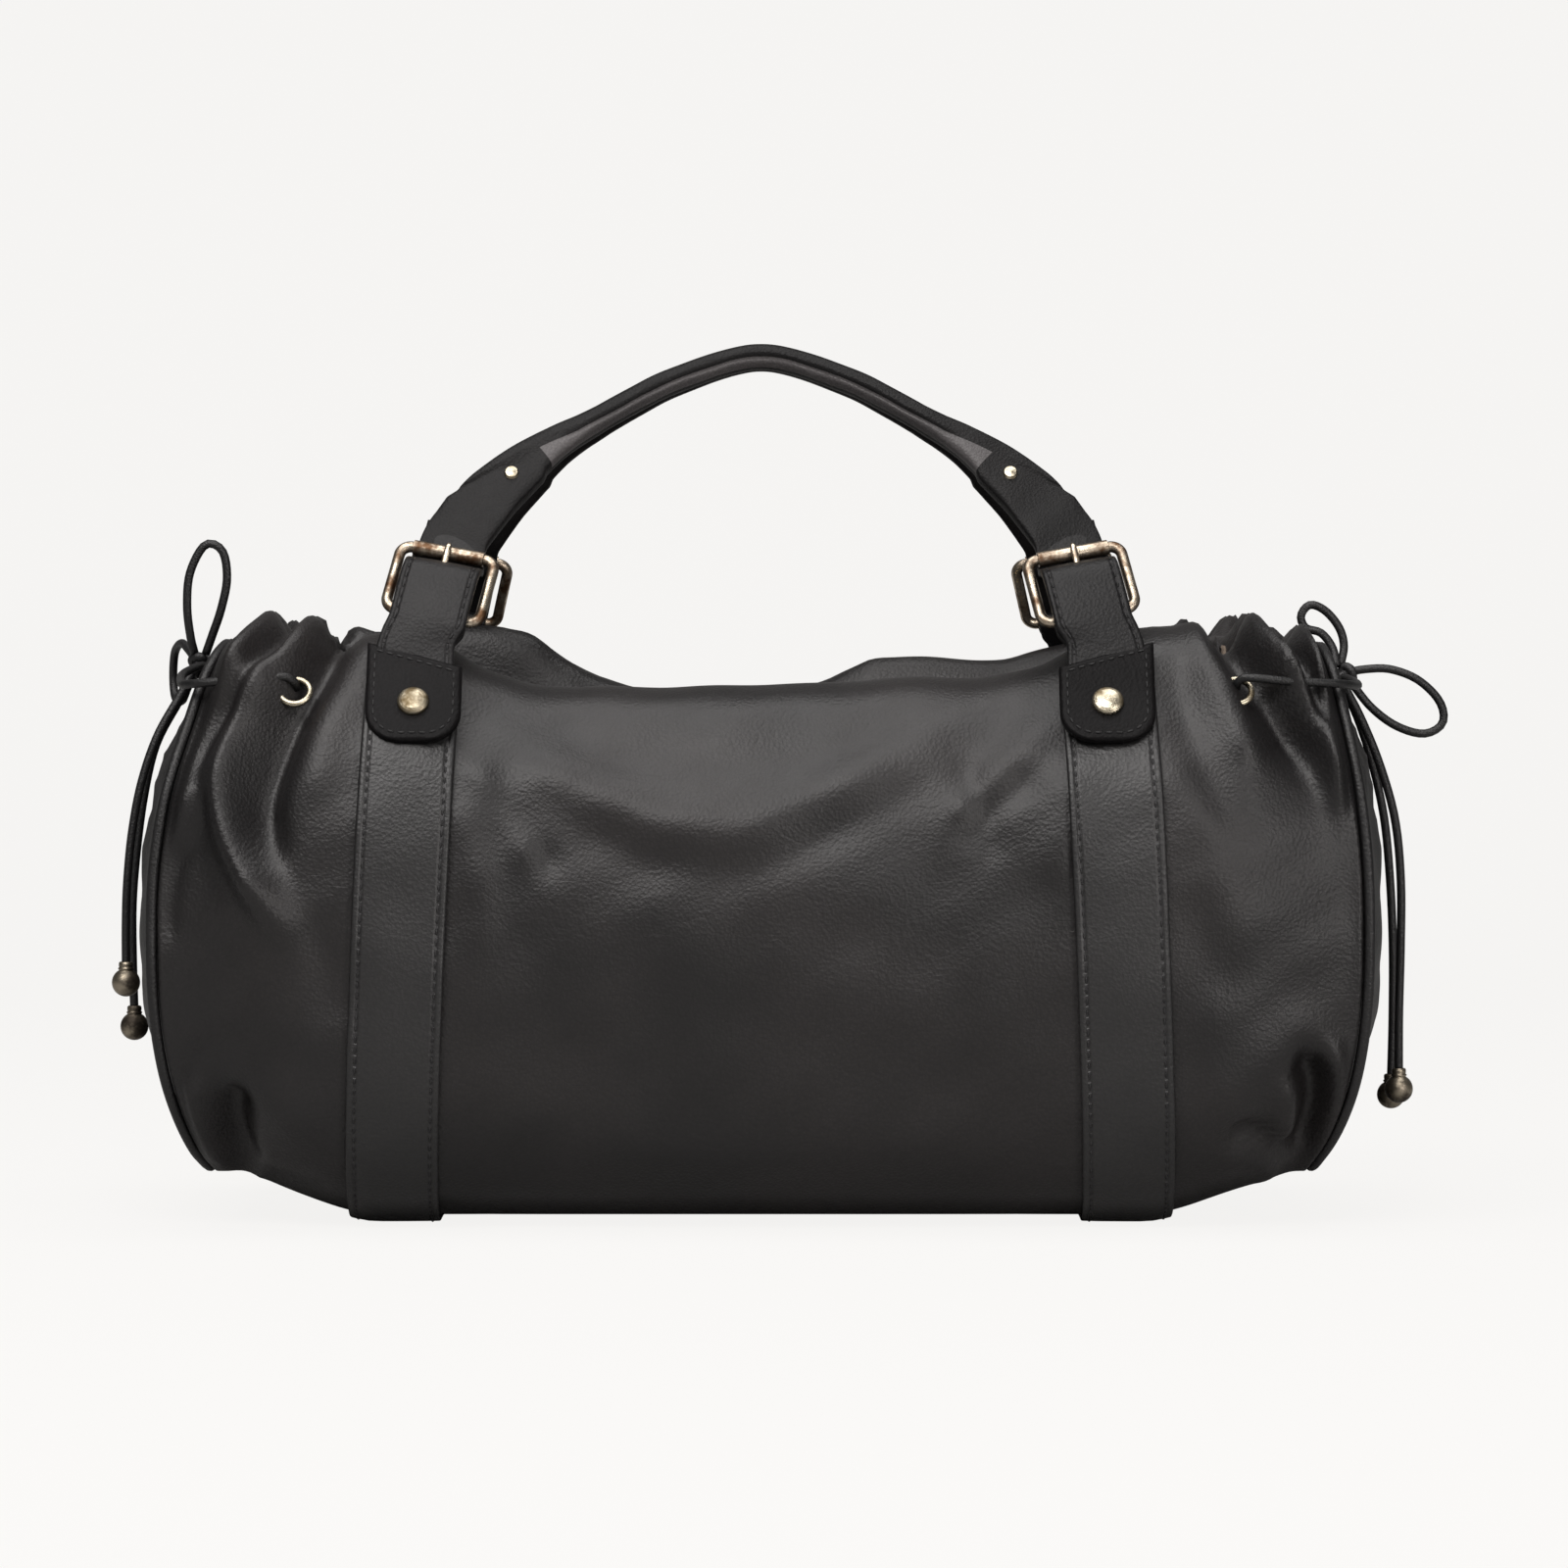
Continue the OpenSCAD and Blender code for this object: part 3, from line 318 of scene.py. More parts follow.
def tube(name, path, radius, finish, body, closed=False):
    """A round tube along a path, both in mm."""
    path = np.array(path, float)
    n = len(path)
    if closed:
        ahead, behind = np.roll(path, -1, 0), np.roll(path, 1, 0)
    else:
        ahead = np.vstack([path[1:], path[-1:]])
        behind = np.vstack([path[:1], path[:-1]])
    tangent = ahead - behind
    tangent /= np.linalg.norm(tangent, axis=1)[:, None]
    u = np.cross(tangent[0], [0.31, 0.2, 0.93])
    rows = []
    for i in range(n):
        u = u - tangent[i] * (u @ tangent[i])
        u /= np.linalg.norm(u)
        w = np.cross(tangent[i], u)
        ring = [path[i] + radius * (math.cos(a) * u + math.sin(a) * w)
                for a in np.linspace(0, 2 * math.pi, TUBE_SIDES + 1)]
        rows.append(ring)
    if closed:
        rows.append(rows[0])
    bm = skin(rows)
    if not closed:
        close_ends(bm)
    return piece(name, bm, finish, body)


# ---- cords
CORD_R = 1.4
LEFT_KNOT, RIGHT_KNOT = (-183, 0, 178), (190.8, 0, 174)
LOOPS = {
    "left_tall_loop": [(-184.8, -1.5, 181.5), (-186, -3, 187), (-187, -4, 197), (-186, -4, 208),
        (-181, -4, 217), (-175.5, -4, 215), (-174, -4, 206), (-176, -3.5, 196), (-179, -2.5, 187.5),
        (-181.2, -1.5, 181.5)],
    "left_low_loop": [(-185.2, 3, 180), (-188, 9, 183), (-191, 17, 185), (-194, 25, 182), (-195, 29, 174),
        (-194, 26, 167), (-191, 18, 166), (-188, 10, 171), (-184.5, 3.8, 176.5)],
    "right_round_loop": [(189.2, 2, 177.5), (190.5, 3.5, 184), (189, 4, 190), (184.5, 4, 195.5),
        (179.5, 4, 197.5), (176.5, 4, 194), (178, 3.8, 190), (183, 3.2, 188.3), (186.6, 2, 183.5),
        (187.8, -0.6, 177.4)],
    "right_long_loop": [(191.5, -1, 175.5), (197, -2, 176.5), (205, -3, 176.5), (214, -4, 173),
        (221, -4, 166), (222, -4, 159), (216, -4, 155.5), (207, -3.5, 158), (199, -2, 164),
        (192.5, 0, 172.2)],
}
TAILS = {
    "left_front_tail": [(-185.5, -2.5, 175.8), (-189, -7, 168), (-196, -11, 155), (-201, -13, 140),
        (-204, -14, 124), (-205.5, -15, 108), (-206, -15, 94), (-206, -15, 79)],
    "left_rear_tail": [(-185, 1.5, 174.7), (-191, 3, 165), (-198, 4, 152), (-202, 5, 136), (-204.5, 5, 118),
        (-206, 5, 100), (-206, 5, 82), (-205.5, 5, 63.5)],
    "right_front_tail": [(190, -3, 171), (195, -6, 161), (201, -8, 146), (206, -9, 128), (208, -9, 108),
        (208, -9, 86), (207.5, -9, 64), (207.5, -9, 44)],
    "right_rear_tail": [(190, 2, 170.8), (195, 5, 161), (200, 6, 146), (204, 6, 128), (206, 6, 108),
        (207, 6, 86), (207, 6, 62), (206.5, 6, 41)],
}
LEFT_RUN = [(-146.2, -65, 170.5), (-147.8, -68, 174), (-153, -69, 174.5), (-162, -68.5, 173.5),
    (-172.5, -67.5, 172.8), (-181.5, -62.5, 172), (-184.5, -48, 172.5), (-186, -28, 175),
    (-182.5, -10, 177.5)]
RIGHT_RUN = [(149.9, -65.3, 170.1), (150.8, -68, 173.8), (156, -69, 174), (166, -68, 173),
    (177, -66, 172.5), (185.5, -61, 172), (190, -48, 171.5), (191, -28, 172.5), (189.8, -10, 173.6)]


def free_cord(name, keys):
    """A round leather cord along its keys, standing in for the model's part of that name."""
    path = spline(keys, 12 + 3 * len(keys))
    obj = tube(name + "_cord", path, CORD_R, "cord", "bag")
    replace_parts(obj, name)
    return obj


def lathe(name, profile, at, finish, body):
    """Turns a profile of (radius, height) in mm about the upright axis through a point."""
    bm = bmesh.new()
    vs = [bm.verts.new((r * MM, 0, z * MM)) for r, z in profile]
    edges = [bm.edges.new(pair) for pair in zip(vs, vs[1:])]
    bmesh.ops.spin(bm, geom=vs + edges, cent=(0, 0, 0), axis=(0, 0, 1), angle=2 * math.pi, steps=32,
                   use_merge=True)
    bmesh.ops.remove_doubles(bm, verts=bm.verts, dist=1e-6)
    bmesh.ops.translate(bm, verts=bm.verts, vec=Vector(at) * MM)
    return piece(name, bm, finish, body)


BALL = [(0, -4.6)] + [(4.6 * math.sin(a), -4.6 * math.cos(a)) for a in np.linspace(0.2, 2.62, 15)]
BALL += [(2.25, 4.05), (2.55, 4.35), (2.55, 4.7), (2.2, 4.95), (2.35, 5.4), (2.3, 6.4), (1.9, 6.75),
    (1.35, 6.75), (1.35, 4.6), (0, 4.6)]


def ball_end(name, keys, node):
    x, y, z = keys[-1]
    ball = lathe(name + "_ball", BALL, (x, y, z - 4.0), "ball", "bag")
    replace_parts(ball, node)
    return ball


for name, keys in LOOPS.items():
    free_cord(name, keys)
for name, keys in TAILS.items():
    end = ball_end(name, keys, name.split("_")[0] + "_balls")
    free_cord(name, keys)
for name, run in (("left_drawstring", LEFT_RUN), ("right_drawstring", RIGHT_RUN)):
    free_cord(name, run + [(x, -y, z) for x, y, z in run[::-1]])


def overhand_knot(name, at, turn):
    """A cord's overhand knot drawn tight: three lobes round one middle."""
    t = np.linspace(0, 2 * math.pi, 73)[:-1]
    path = np.stack([(np.sin(t) + 2 * np.sin(2 * t)) * 1.1, -np.sin(3 * t) * 1.5,
                     (np.cos(t) - 2 * np.cos(2 * t)) * 1.1], 1)
    spin = np.array(Matrix.Rotation(turn, 3, "Y") @ Matrix.Rotation(0.5, 3, "Z"))
    obj = tube(name + "_lobes", path @ spin.T + np.array(at), 1.55, "cord", "bag", closed=True)
    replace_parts(obj, name)


overhand_knot("left_knot", LEFT_KNOT, 0.4)
overhand_knot("right_knot", RIGHT_KNOT, 1.3)


# ---- the body's form
SEAM_X, HALF_DEPTH, WAIST, BASE = 189.0, 88.0, 98.0, 2.5
LEFT_LEAN, RIGHT_LEAN, FOOT_LEAN = 26, 16, 25.0
RECESS_Z, MOUTH_Y, MOUTH_LOW, END_BULGE = 160, 18.0, 140, 11
LEATHER_T, LINING_INSET = 2.0, 3.9
BODY_ROWS, LINING_ROWS = 170, 150
LOWER = [(0, 0), (0.3, 0), (0.5, 0), (0.62, 0.045), (0.74, 0.125), (0.9, 0.37), (0.985, 0.7), (1, 1)]
UPPER = [(0.965, 0.36), (0.9, 0.58), (0.795, 0.755), (0.75, 0.815), (0.66, 0.93), (0.56, 0.985), (0.46, 1),
    (0.38, 0.97)]
# Height of the front and the rear ridge along x, read from the photograph
FRONT_RIDGE = [(-190, 187), (-167, 190), (-145, 189), (-133, 186.5), (-120, 188), (-105, 184), (-88, 176.5),
    (-73, 172.5), (-56, 171), (17, 171), (45, 172.5), (71, 174.5), (90, 178), (105, 184), (119, 189),
    (132, 191), (146, 188.5), (160, 189.5), (178, 188), (190, 186)]
REAR_RIDGE = [(-190, 187), (-140, 189), (-110, 190), (-92, 190), (-80, 187.5), (-70, 181), (-56, 173.5),
    (-40, 169), (0, 168), (22, 173), (39, 181), (60, 180), (84, 179), (105, 184), (125, 189), (190, 187)]


def along(table, x):
    xs = [p[0] for p in table]
    zs = [p[1] for p in table]
    return np.interp(x, xs, zs)


def seam_at(z, left):
    z = np.asarray(z, float)
    top = LEFT_LEAN if left else RIGHT_LEAN
    share = (z - WAIST) / WAIST
    return SEAM_X - np.where(z < WAIST, FOOT_LEAN * np.abs(share) ** 3, top * share ** 2)


def floor_at(s, ridge):
    return RECESS_Z + (ridge - RECESS_Z) * smoothstep(0.75, 0.84, abs(s))


def half_keys(s, ridge_table):
    """Keys of half the section at a share s of the half length: depth outwards, height, and how
    far round the section each lies, which past the ridge runs on as if it were height."""
    ridge = 0.5 * (along(ridge_table, s * 178) + along(ridge_table, s * 178 + 4))
    e = float(smoothstep(0.74, 1, abs(s)))
    keys = [(f * HALF_DEPTH, BASE + (WAIST - BASE) * g) for f, g in LOWER]
    keys += [(f * HALF_DEPTH, WAIST + (ridge - WAIST) * g) for f, g in UPPER]
    keys += [(y, float(floor_at(s, ridge))) for y in (0.29 * HALF_DEPTH, MOUTH_Y, 0.0)]
    out = []
    for y, z in keys:
        share = 0.14 if z < WAIST else 0.04
        out.append((y * (1 - 0.13 * e), z + (WAIST - z) * share * e))
    return out


def half_line(s, ridge_table, n):
    """n points of one half section as [depth, height, run], evenly spread."""
    line = spline(half_keys(s, ridge_table), n)
    ridge_i = int(np.argmax(line[:, 1]))
    past = run_along(line)
    run = np.where(np.arange(n) <= ridge_i, line[:, 1], line[ridge_i, 1] + past - past[ridge_i])
    return np.column_stack([line, run])


# Folds as strokes over (x, height run) in mm: points, width, height. A ridge is above 0.
FRONT_FOLDS = [
    # pleats that fan from the left drawstring
    ([(-204, 175), (-188, 175), (-174, 174), (-162, 173), (-151, 171)], 9.5, 8.0),
    ([(-156, 203), (-155, 191), (-160, 178), (-166, 166), (-172, 154), (-178, 140), (-183, 120)], 4.8, 5.6),
    ([(-148, 203), (-149, 188), (-157, 174), (-166, 161), (-174, 148), (-179, 136)], 3.4, -4.4),
    ([(-140, 203), (-142, 190), (-151, 173), (-160, 161), (-166, 149), (-168, 136), (-164, 122),
      (-156, 107), (-146, 90)], 5.8, 6.8),
    ([(-132, 202), (-134, 188), (-141, 172), (-149, 156), (-154, 142), (-155, 128), (-150, 114)], 4.8,
      -5.4),
    ([(-122, 190), (-128, 172), (-137, 154), (-142, 134)], 7.0, 1.6),
    ([(-172, 196), (-171, 184), (-176, 172), (-181, 158)], 3.6, 3.0),
    ([(-180, 124), (-186, 108), (-187, 90)], 4.0, -1.8),
    # pleats that fan from the right drawstring
    ([(204, 174), (190, 173.5), (177, 173.5), (164, 173), (154, 171.5)], 9.0, 6.0),
    ([(172, 203), (173, 187), (176, 175), (180, 163), (184, 150)], 4.2, 4.4),
    ([(164, 203), (165, 187), (169, 175), (174, 165), (179, 155)], 3.4, -4.2),
    ([(154, 204), (155, 190), (160, 178), (166, 169), (172, 161), (176, 154), (180, 145), (183, 132)], 4.3,
      6.8),
    ([(146, 203), (148, 189), (154, 177), (161, 166), (168, 155), (173, 144)], 5.4, -5.4),
    ([(137, 203), (138, 190), (143, 174), (150, 158), (157, 144)], 5.4, 2.6),
    ([(130, 180), (134, 160), (142, 140), (150, 126)], 6.0, -1.6),
    # the hem of the drape that hangs between the tabs
    ([(-88, 158), (-64, 143), (-42, 131), (-26, 125.5), (-4, 126), (26, 140), (56, 154), (80, 163)], 10.0,
      1.9),
    ([(-84, 146), (-60, 132), (-38, 121), (-20, 117), (0, 118), (24, 128), (50, 140), (70, 148)], 9.0,
      -1.8),
    ([(-92, 150), (-84, 138), (-74, 126), (-70, 114)], 5.0, 1.5),
    ([(-86, 140), (-76, 130), (-69, 122), (-64, 112)], 4.0, -1.5),
    ([(-96, 140), (-90, 122), (-87, 104), (-89, 86)], 6.0, 1.1),
    ([(92, 158), (80, 148), (70, 138), (60, 128)], 6.0, 1.5),
    ([(88, 146), (78, 138), (68, 130), (61, 120)], 4.0, -1.4),
    ([(62, 150), (68, 138), (72, 126), (70, 116)], 5.0, -1.2),
    ([(98, 146), (94, 126), (92, 108)], 6.0, 1.0),
    ([(-56, 166), (-20, 162), (20, 162), (60, 166)], 9.0, 1.1),
    ([(-66, 156), (-30, 147), (14, 149), (54, 158)], 7.0, -0.9),
    # dents above the base
    ([(-160, 14), (-165, 22), (-167, 33), (-165, 47)], 5.4, -5.8),
    ([(-171, 16), (-176, 26), (-179, 38), (-178, 52)], 5.0, 3.0),
    ([(-160, 17), (-148, 14), (-136, 13)], 3.0, -2.4),
    ([(-182, 60), (-170, 54), (-156, 46), (-140, 30)], 8.0, 1.6),
    ([(170, 18), (174, 30), (175, 44), (170, 58)], 4.8, -6.4),
    ([(180, 20), (183, 34), (182, 50), (176, 62)], 4.2, 3.0),
    ([(162, 24), (165, 36), (165, 50)], 4.4, 3.0),
    ([(146, 29), (155, 32), (163, 28), (168, 22)], 3.6, -3.2),
    ([(144, 21), (155, 20), (165, 15)], 3.6, 2.0),
    ([(140, 15), (152, 14), (164, 15)], 5.0, 1.4),
    ([(176, 70), (164, 58), (150, 46), (138, 40)], 9.0, 1.4),
    ([(-60, 30), (-20, 22), (30, 24), (70, 32)], 12.0, 1.3),
    ([(-80, 72), (-50, 60), (-20, 64)], 14.0, -0.9),
    ([(16, 84), (46, 74), (80, 80)], 14.0, 0.9),
    ([(-144, 100), (-134, 84), (-130, 64)], 9.0, -1.2),
    ([(134, 110), (140, 90), (150, 72)], 9.0, -1.2),
]
REAR_FOLDS = [([(-x * 0.98, z) for x, z in keys], w, h) for keys, w, h in FRONT_FOLDS
              if keys[0][0] > 120 or keys[0][0] < -120 or keys[0][1] < 60]
REAR_FOLDS += [
    ([(-90, 160), (-50, 140), (-6, 133), (44, 143), (86, 160)], 10.0, 1.9),
    ([(-84, 148), (-46, 129), (-2, 122), (40, 131), (78, 147)], 9.0, -1.7),
    ([(84, 150), (74, 134), (68, 116)], 5.0, 1.4),
    ([(-86, 146), (-74, 132), (-64, 114)], 5.0, -1.3),
]


def stroke_height(x, run, folds):
    """Sum of the folds' heights at each point."""
    total = np.zeros_like(x)
    for keys, width, height in folds:
        line = spline(keys, 4 * len(keys))
        best = np.full(x.shape, 1e9)
        share = np.zeros(x.shape)
        for k in range(len(line) - 1):
            a, d = line[k], line[k + 1] - line[k]
            t = np.clip(((x - a[0]) * d[0] + (run - a[1]) * d[1]) / (d @ d), 0, 1)
            gap = (x - a[0] - t * d[0]) ** 2 + (run - a[1] - t * d[1]) ** 2
            share = np.where(gap < best, (k + t) / (len(line) - 1), share)
            best = np.minimum(best, gap)
        fade = np.clip(np.minimum(share, 1 - share) * 5 + 0.15, 0, 1)
        total += height * fade * np.exp(-best / (width * width))
    return total


def ripple(x, y, z):
    """Low uneven swelling of soft leather, in mm."""
    return (0.7 * np.sin(x * 0.041 + 1.3 * np.sin(z * 0.037 + 0.4)) * np.sin(z * 0.05 + y * 0.02 + 0.8)
            + 0.35 * np.sin(x * 0.093 + z * 0.071 + 0.7) * np.sin(z * 0.11 - x * 0.03)
            + 0.22 * np.sin(x * 0.19 - z * 0.13 + 2.0) * np.sin(z * 0.17 + y * 0.05))


HALF_N = 92


def body_points(shares, depth=0.0):
    """The leather's surface [station][round the section][xyz] in mm, from the middle of the
    bottom up the front, over the recess and down the rear."""
    base, run = [], []
    for s in shares:
        f = half_line(s, FRONT_RIDGE, HALF_N)
        b = half_line(s, REAR_RIDGE, HALF_N)
        yz = np.vstack([f[:, :2] * [-1, 1], b[-2:0:-1, :2]])
        base.append(np.column_stack([s * seam_at(yz[:, 1], s < 0), yz]))
        run.append(np.concatenate([f[:, 2], b[-2:0:-1, 2]]))
    p, run = np.array(base), np.array(run)
    x = p[:, :, 0]
    front = stroke_height(x, run, FRONT_FOLDS)
    back = stroke_height(x, run, REAR_FOLDS)
    lift = np.where(p[:, :, 1] < 0, front, back)
    lift = lift + ripple(x, p[:, :, 1], p[:, :, 2])
    in_recess = smoothstep(8, 30, run - np.maximum(p[:, :, 2].max(1), 1)[:, None])
    flat = smoothstep(3.0, 28, p[:, :, 2]) * (1 - 0.85 * in_recess)
    at_ends = smoothstep(1.0, 0.97, np.abs(np.array(shares)))[:, None]
    lift = lift * flat * at_ends + 0.35 * lift * flat
    if depth:
        lift = np.minimum(lift, 0)  # an inner layer follows only what goes inwards
    du = np.gradient(p, axis=0)
    dv = np.roll(p, -1, 1) - np.roll(p, 1, 1)
    n = np.cross(du, dv)
    n /= np.linalg.norm(n, axis=2)[:, :, None] + 1e-12
    if n[len(shares) // 2, 20, 1] > 0:
        n = -n
    return p + n * (lift - depth)[:, :, None], n


def mouth_cut(bm, half_x, half_y):
    """Takes the leather out of the mouth, between the ridges."""
    gone = [f for f in bm.faces if abs(f.calc_center_median().x) < half_x * MM
            and abs(f.calc_center_median().y) < half_y * MM and f.calc_center_median().z > MOUTH_LOW * MM]
    bmesh.ops.delete(bm, geom=gone, context="FACES")


def station_shares(n, end=1.0):
    even = np.linspace(-1, 1, n)
    shares = list(end * even * (1.25 - 0.25 * even ** 2))
    for at in (-0.7355, 0.7307):
        k = int(np.argmin([abs(s - at) for s in shares]))
        shares[k] = at
    return np.array(shares)


shares = station_shares(BODY_ROWS)
outer, outer_n = body_points(shares)
closed = np.concatenate([outer, outer[:, :1]], 1)
bm = skin(closed.tolist())
mouth_cut(bm, 133.5, 17.6)
body = piece("body_leather", bm, "body", "bag")
thicken(body, LEATHER_T)
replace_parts(body, "shell")

inner, _ = body_points(station_shares(LINING_ROWS, 0.965), LINING_INSET)
bm = skin(np.concatenate([inner, inner[:, :1]], 1).tolist())
mouth_cut(bm, 131, 17.2)
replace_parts(piece("inner_lining", bm, "lining", "bag"), "lining")


# ---- strips of leather and their stitches
def section(width, thickness, rounding=0.45, crown=0.0, columns=7):
    """The outline across a strip, as [across, out of the surface], from one edge round to it again."""
    w, t, r = width / 2, thickness / 2, rounding
    top = [(-w, 0), (-w, t - r), (-w + r * 0.3, t - r * 0.3), (-w + r, t)]
    top += [(c, t) for c in np.linspace(-w + 1.6, w - 1.6, columns)]
    top += [(w - r, t), (w - r * 0.3, t - r * 0.3), (w, t - r), (w, 0)]
    under = [(c, -o) for c, o in top[::-1][1:]]
    line = np.array(top + under)
    line[:, 1] += crown * (1 - (line[:, 0] / w) ** 2)
    return line


def swept(name, rows, across, finish, body):
    """A strip swept as rows of its outline, in mm, with its own run as UV: u across and v in metres."""
    rows = np.array(rows, float)
    run = run_along(rows.mean(1)) * MM
    w = np.abs(across).max()
    bm = skin(rows.tolist(), [[(float(c / w / 2 + 0.5), float(v)) for c in across] for v in run])
    close_ends(bm)
    return piece(name, bm, finish, body)


def unit_rows(v):
    return v / (np.linalg.norm(v, axis=-1)[..., None] + 1e-12)


STITCH = (2.3 / 2, 0.36, 0.36 * 0.7)  # half its length, half its width and height, in mm


def at_run(s, run, table):
    return np.array([np.interp(s, run, table[:, i]) for i in range(3)])


def stitches(name, lines, body, pitch=3.4):
    """Rows of single stitches along lines, each given as points and the surface's normals in mm."""
    bm = bmesh.new()
    for points, ups in lines:
        points, ups = np.array(points, float), np.array(ups, float)
        run = run_along(points)
        count = max(2, int(run[-1] / pitch))
        for k in range(count):
            s = run[-1] * (k + 0.5) / count
            at, up = at_run(s, run, points), unit_rows(at_run(s, run, ups))
            t = unit_rows(at_run(s + 0.6, run, points) - at_run(s - 0.6, run, points))
            side = np.cross(up, t)
            m = Matrix([[*(c * s for c, s in zip(col, STITCH)), p]
                        for col, p in zip(np.stack([t, side, up], 1), at)] + [[0, 0, 0, 1]])
            m = Matrix.Diagonal((MM, MM, MM, 1)) @ m
            bmesh.ops.create_uvsphere(bm, u_segments=6, v_segments=4, radius=1.0,
                                      matrix=m @ Matrix.Rotation(math.pi / 2, 4, "Y"))
    return piece(name, bm, "thread", body)


# ---- lines on the body
V_ALL = outer.shape[1]


def on_body(x, v):
    """A point and normal of the folded leather at x and at a place v round the section."""
    v = v % V_ALL
    i, f = int(v) % V_ALL, v - int(v)
    j = (i + 1) % V_ALL

    def mixed(table, k):
        return (1 - f) * np.interp(x, outer[:, i, 0], table[:, i, k]) \
            + f * np.interp(x, outer[:, j, 0], table[:, j, k])

    p, n = [mixed(outer, k) for k in (1, 2)], [mixed(outer_n, k) for k in range(3)]
    return np.array([x, *p]), unit_rows(np.array(n))


def v_at_height(x, z):
    """How far round the front half the leather first reaches a height."""
    heights = [on_body(x, v)[0][2] for v in range(0, 70)]
    k = next(i for i, h in enumerate(heights) if h >= z)
    return k - 1 + (z - heights[k - 1]) / (heights[k] - heights[k - 1])


def eased(rows):
    for _ in range(3):
        rows[1:-1] = rows[1:-1] * 0.5 + (rows[2:] + rows[:-2]) * 0.25
    return rows


def body_strip(name, centre, outline, v_lo, v_hi, out, n, finish):
    """A strip lying on the leather from v_lo round to v_hi, its middle at centre(height)."""
    rows, ups = [], []
    for v in np.linspace(v_lo, v_hi, n):
        z = on_body(centre(90), v)[0][2]
        x = centre(z)
        up = on_body(x, v)[1]
        rows.append([on_body(x + c, v)[0] + up * (out + o) for c, o in outline])
        ups.append(up)
    rows = eased(np.array(rows))
    rows[:, :, 2] = np.maximum(rows[:, :, 2], 0.02)
    obj = swept(name, rows, outline[:, 0], finish, "bag")
    return obj, rows, np.array(ups)


def edge_line(rows, ups, outline, inset, lift, lo=0, hi=None):
    """The line inset from each edge of a strip's top, for its stitches."""
    lines = []
    top = [k for k in range(len(outline)) if outline[k, 1] > 0.3]
    cs = outline[top, 0]
    order = np.argsort(cs)
    for side in (-1, 1):
        c = side * (abs(cs).max() - inset)
        pts = [[np.interp(c, cs[order], row[top][order][:, i]) for i in range(3)] for row in rows]
        lines.append(((np.array(pts) + ups * lift)[lo:hi], ups[lo:hi]))
    return lines


BAND = section(29, 1.9, 0.5, 0.25)
for side, word in ((-1, "left"), (1, "right")):
    centre = lambda z, s=side: s * (109 + 8 * (1 - min(1, z / 189)))
    top = v_at_height(centre(170), 171)
    obj, rows, ups = body_strip(word + "_band_leather", centre, BAND, -top, top, 1.35, 190, "band")
    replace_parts(obj, word + "_band")
    stitches(word + "_band_stitches", edge_line(rows, ups, BAND, 2.6, 0.08, 6, -6), "bag")

sole_at = [k for k in range(40) if abs(outer[75, k, 1]) < 26][-1]
sole = section(196, 1.1, 0.4, 0.0, 23)
obj, rows, ups = body_strip("base_leather", lambda z: 0.0, sole, -sole_at, sole_at, 0.75, 24, "band")
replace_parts(obj, "base_panel")
obj.data.materials[0] = MATS["end"]


# ---- the ends
END_INSET, END_OUT, PIPING_R, PIPING_OUT = 4.2, 1.6, 1.8, 2.4
END_RINGS = (1, 0.985, 0.96, 0.92, 0.87, 0.8, 0.72, 0.63, 0.54, 0.45, 0.36, 0.27, 0.18, 0.1, 0.04)


def end_edge(left):
    ring = outer[0 if left else -1]
    return np.vstack([ring, ring[:1]])


for left, word in ((True, "left"), (False, "right")):
    edge = end_edge(left)
    sign = -1 if left else 1
    rows = []
    for f in END_RINGS:
        k = f * (1 - END_INSET / HALF_DEPTH)
        y, z = edge[:, 1] * k, WAIST + (edge[:, 2] - WAIST) * k
        x = SEAM_X * (1 - f * f) + abs(edge[:, 0]) * f * f + END_BULGE * (1 - f * f) + END_OUT
        top = smoothstep(70, 165, z)
        x = x - 3.4 * np.exp(-(y / 8.0) ** 2) * top * (1 - f ** 4)
        x = x + 1.5 * np.sin(y * 0.42 + 0.9) * smoothstep(110, 170, z) * (1 - f ** 6)
        x = x + (0.9 * np.sin(y * 0.09 + z * 0.07) + 0.5 * np.sin(z * 0.16 - y * 0.11)) * (1 - f ** 6)
        if f > 0.97:
            x = x - (f - 0.97) * 40
        rows.append(np.stack([sign * x, y, z], 1))
    bm = skin([r.tolist() for r in rows])
    hole = [e for e in bm.edges if e.is_boundary and (e.verts[0].co.xz - Vector((sign * 0.2,
        0.098))).length < 0.03]
    bmesh.ops.holes_fill(bm, edges=hole)
    obj = piece(word + "_end_leather", bm, "end", "bag")
    thicken(obj, 1.8)
    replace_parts(obj, word + "_end_panel")
    k = 1 - PIPING_R / HALF_DEPTH
    cord_line = np.stack([edge[:-1, 0] + sign * PIPING_OUT, edge[:-1, 1] * k,
        WAIST + (edge[:-1, 2] - WAIST) * k], 1)
    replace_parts(tube(word + "_piping_leather", cord_line, PIPING_R, "piping", "bag",
        closed=True), word + "_piping")


# ---- the zip's cloth and leather
def level_strip(name, x0, x1, y, z, outline, finish, n=120):
    xs = np.linspace(x0, x1, n)
    rows = [[(x, y + c, z + o + 0.12 * math.sin(x * 0.11 + y)) for c, o in outline] for x in xs]
    return swept(name, rows, outline[:, 0], finish, "bag")


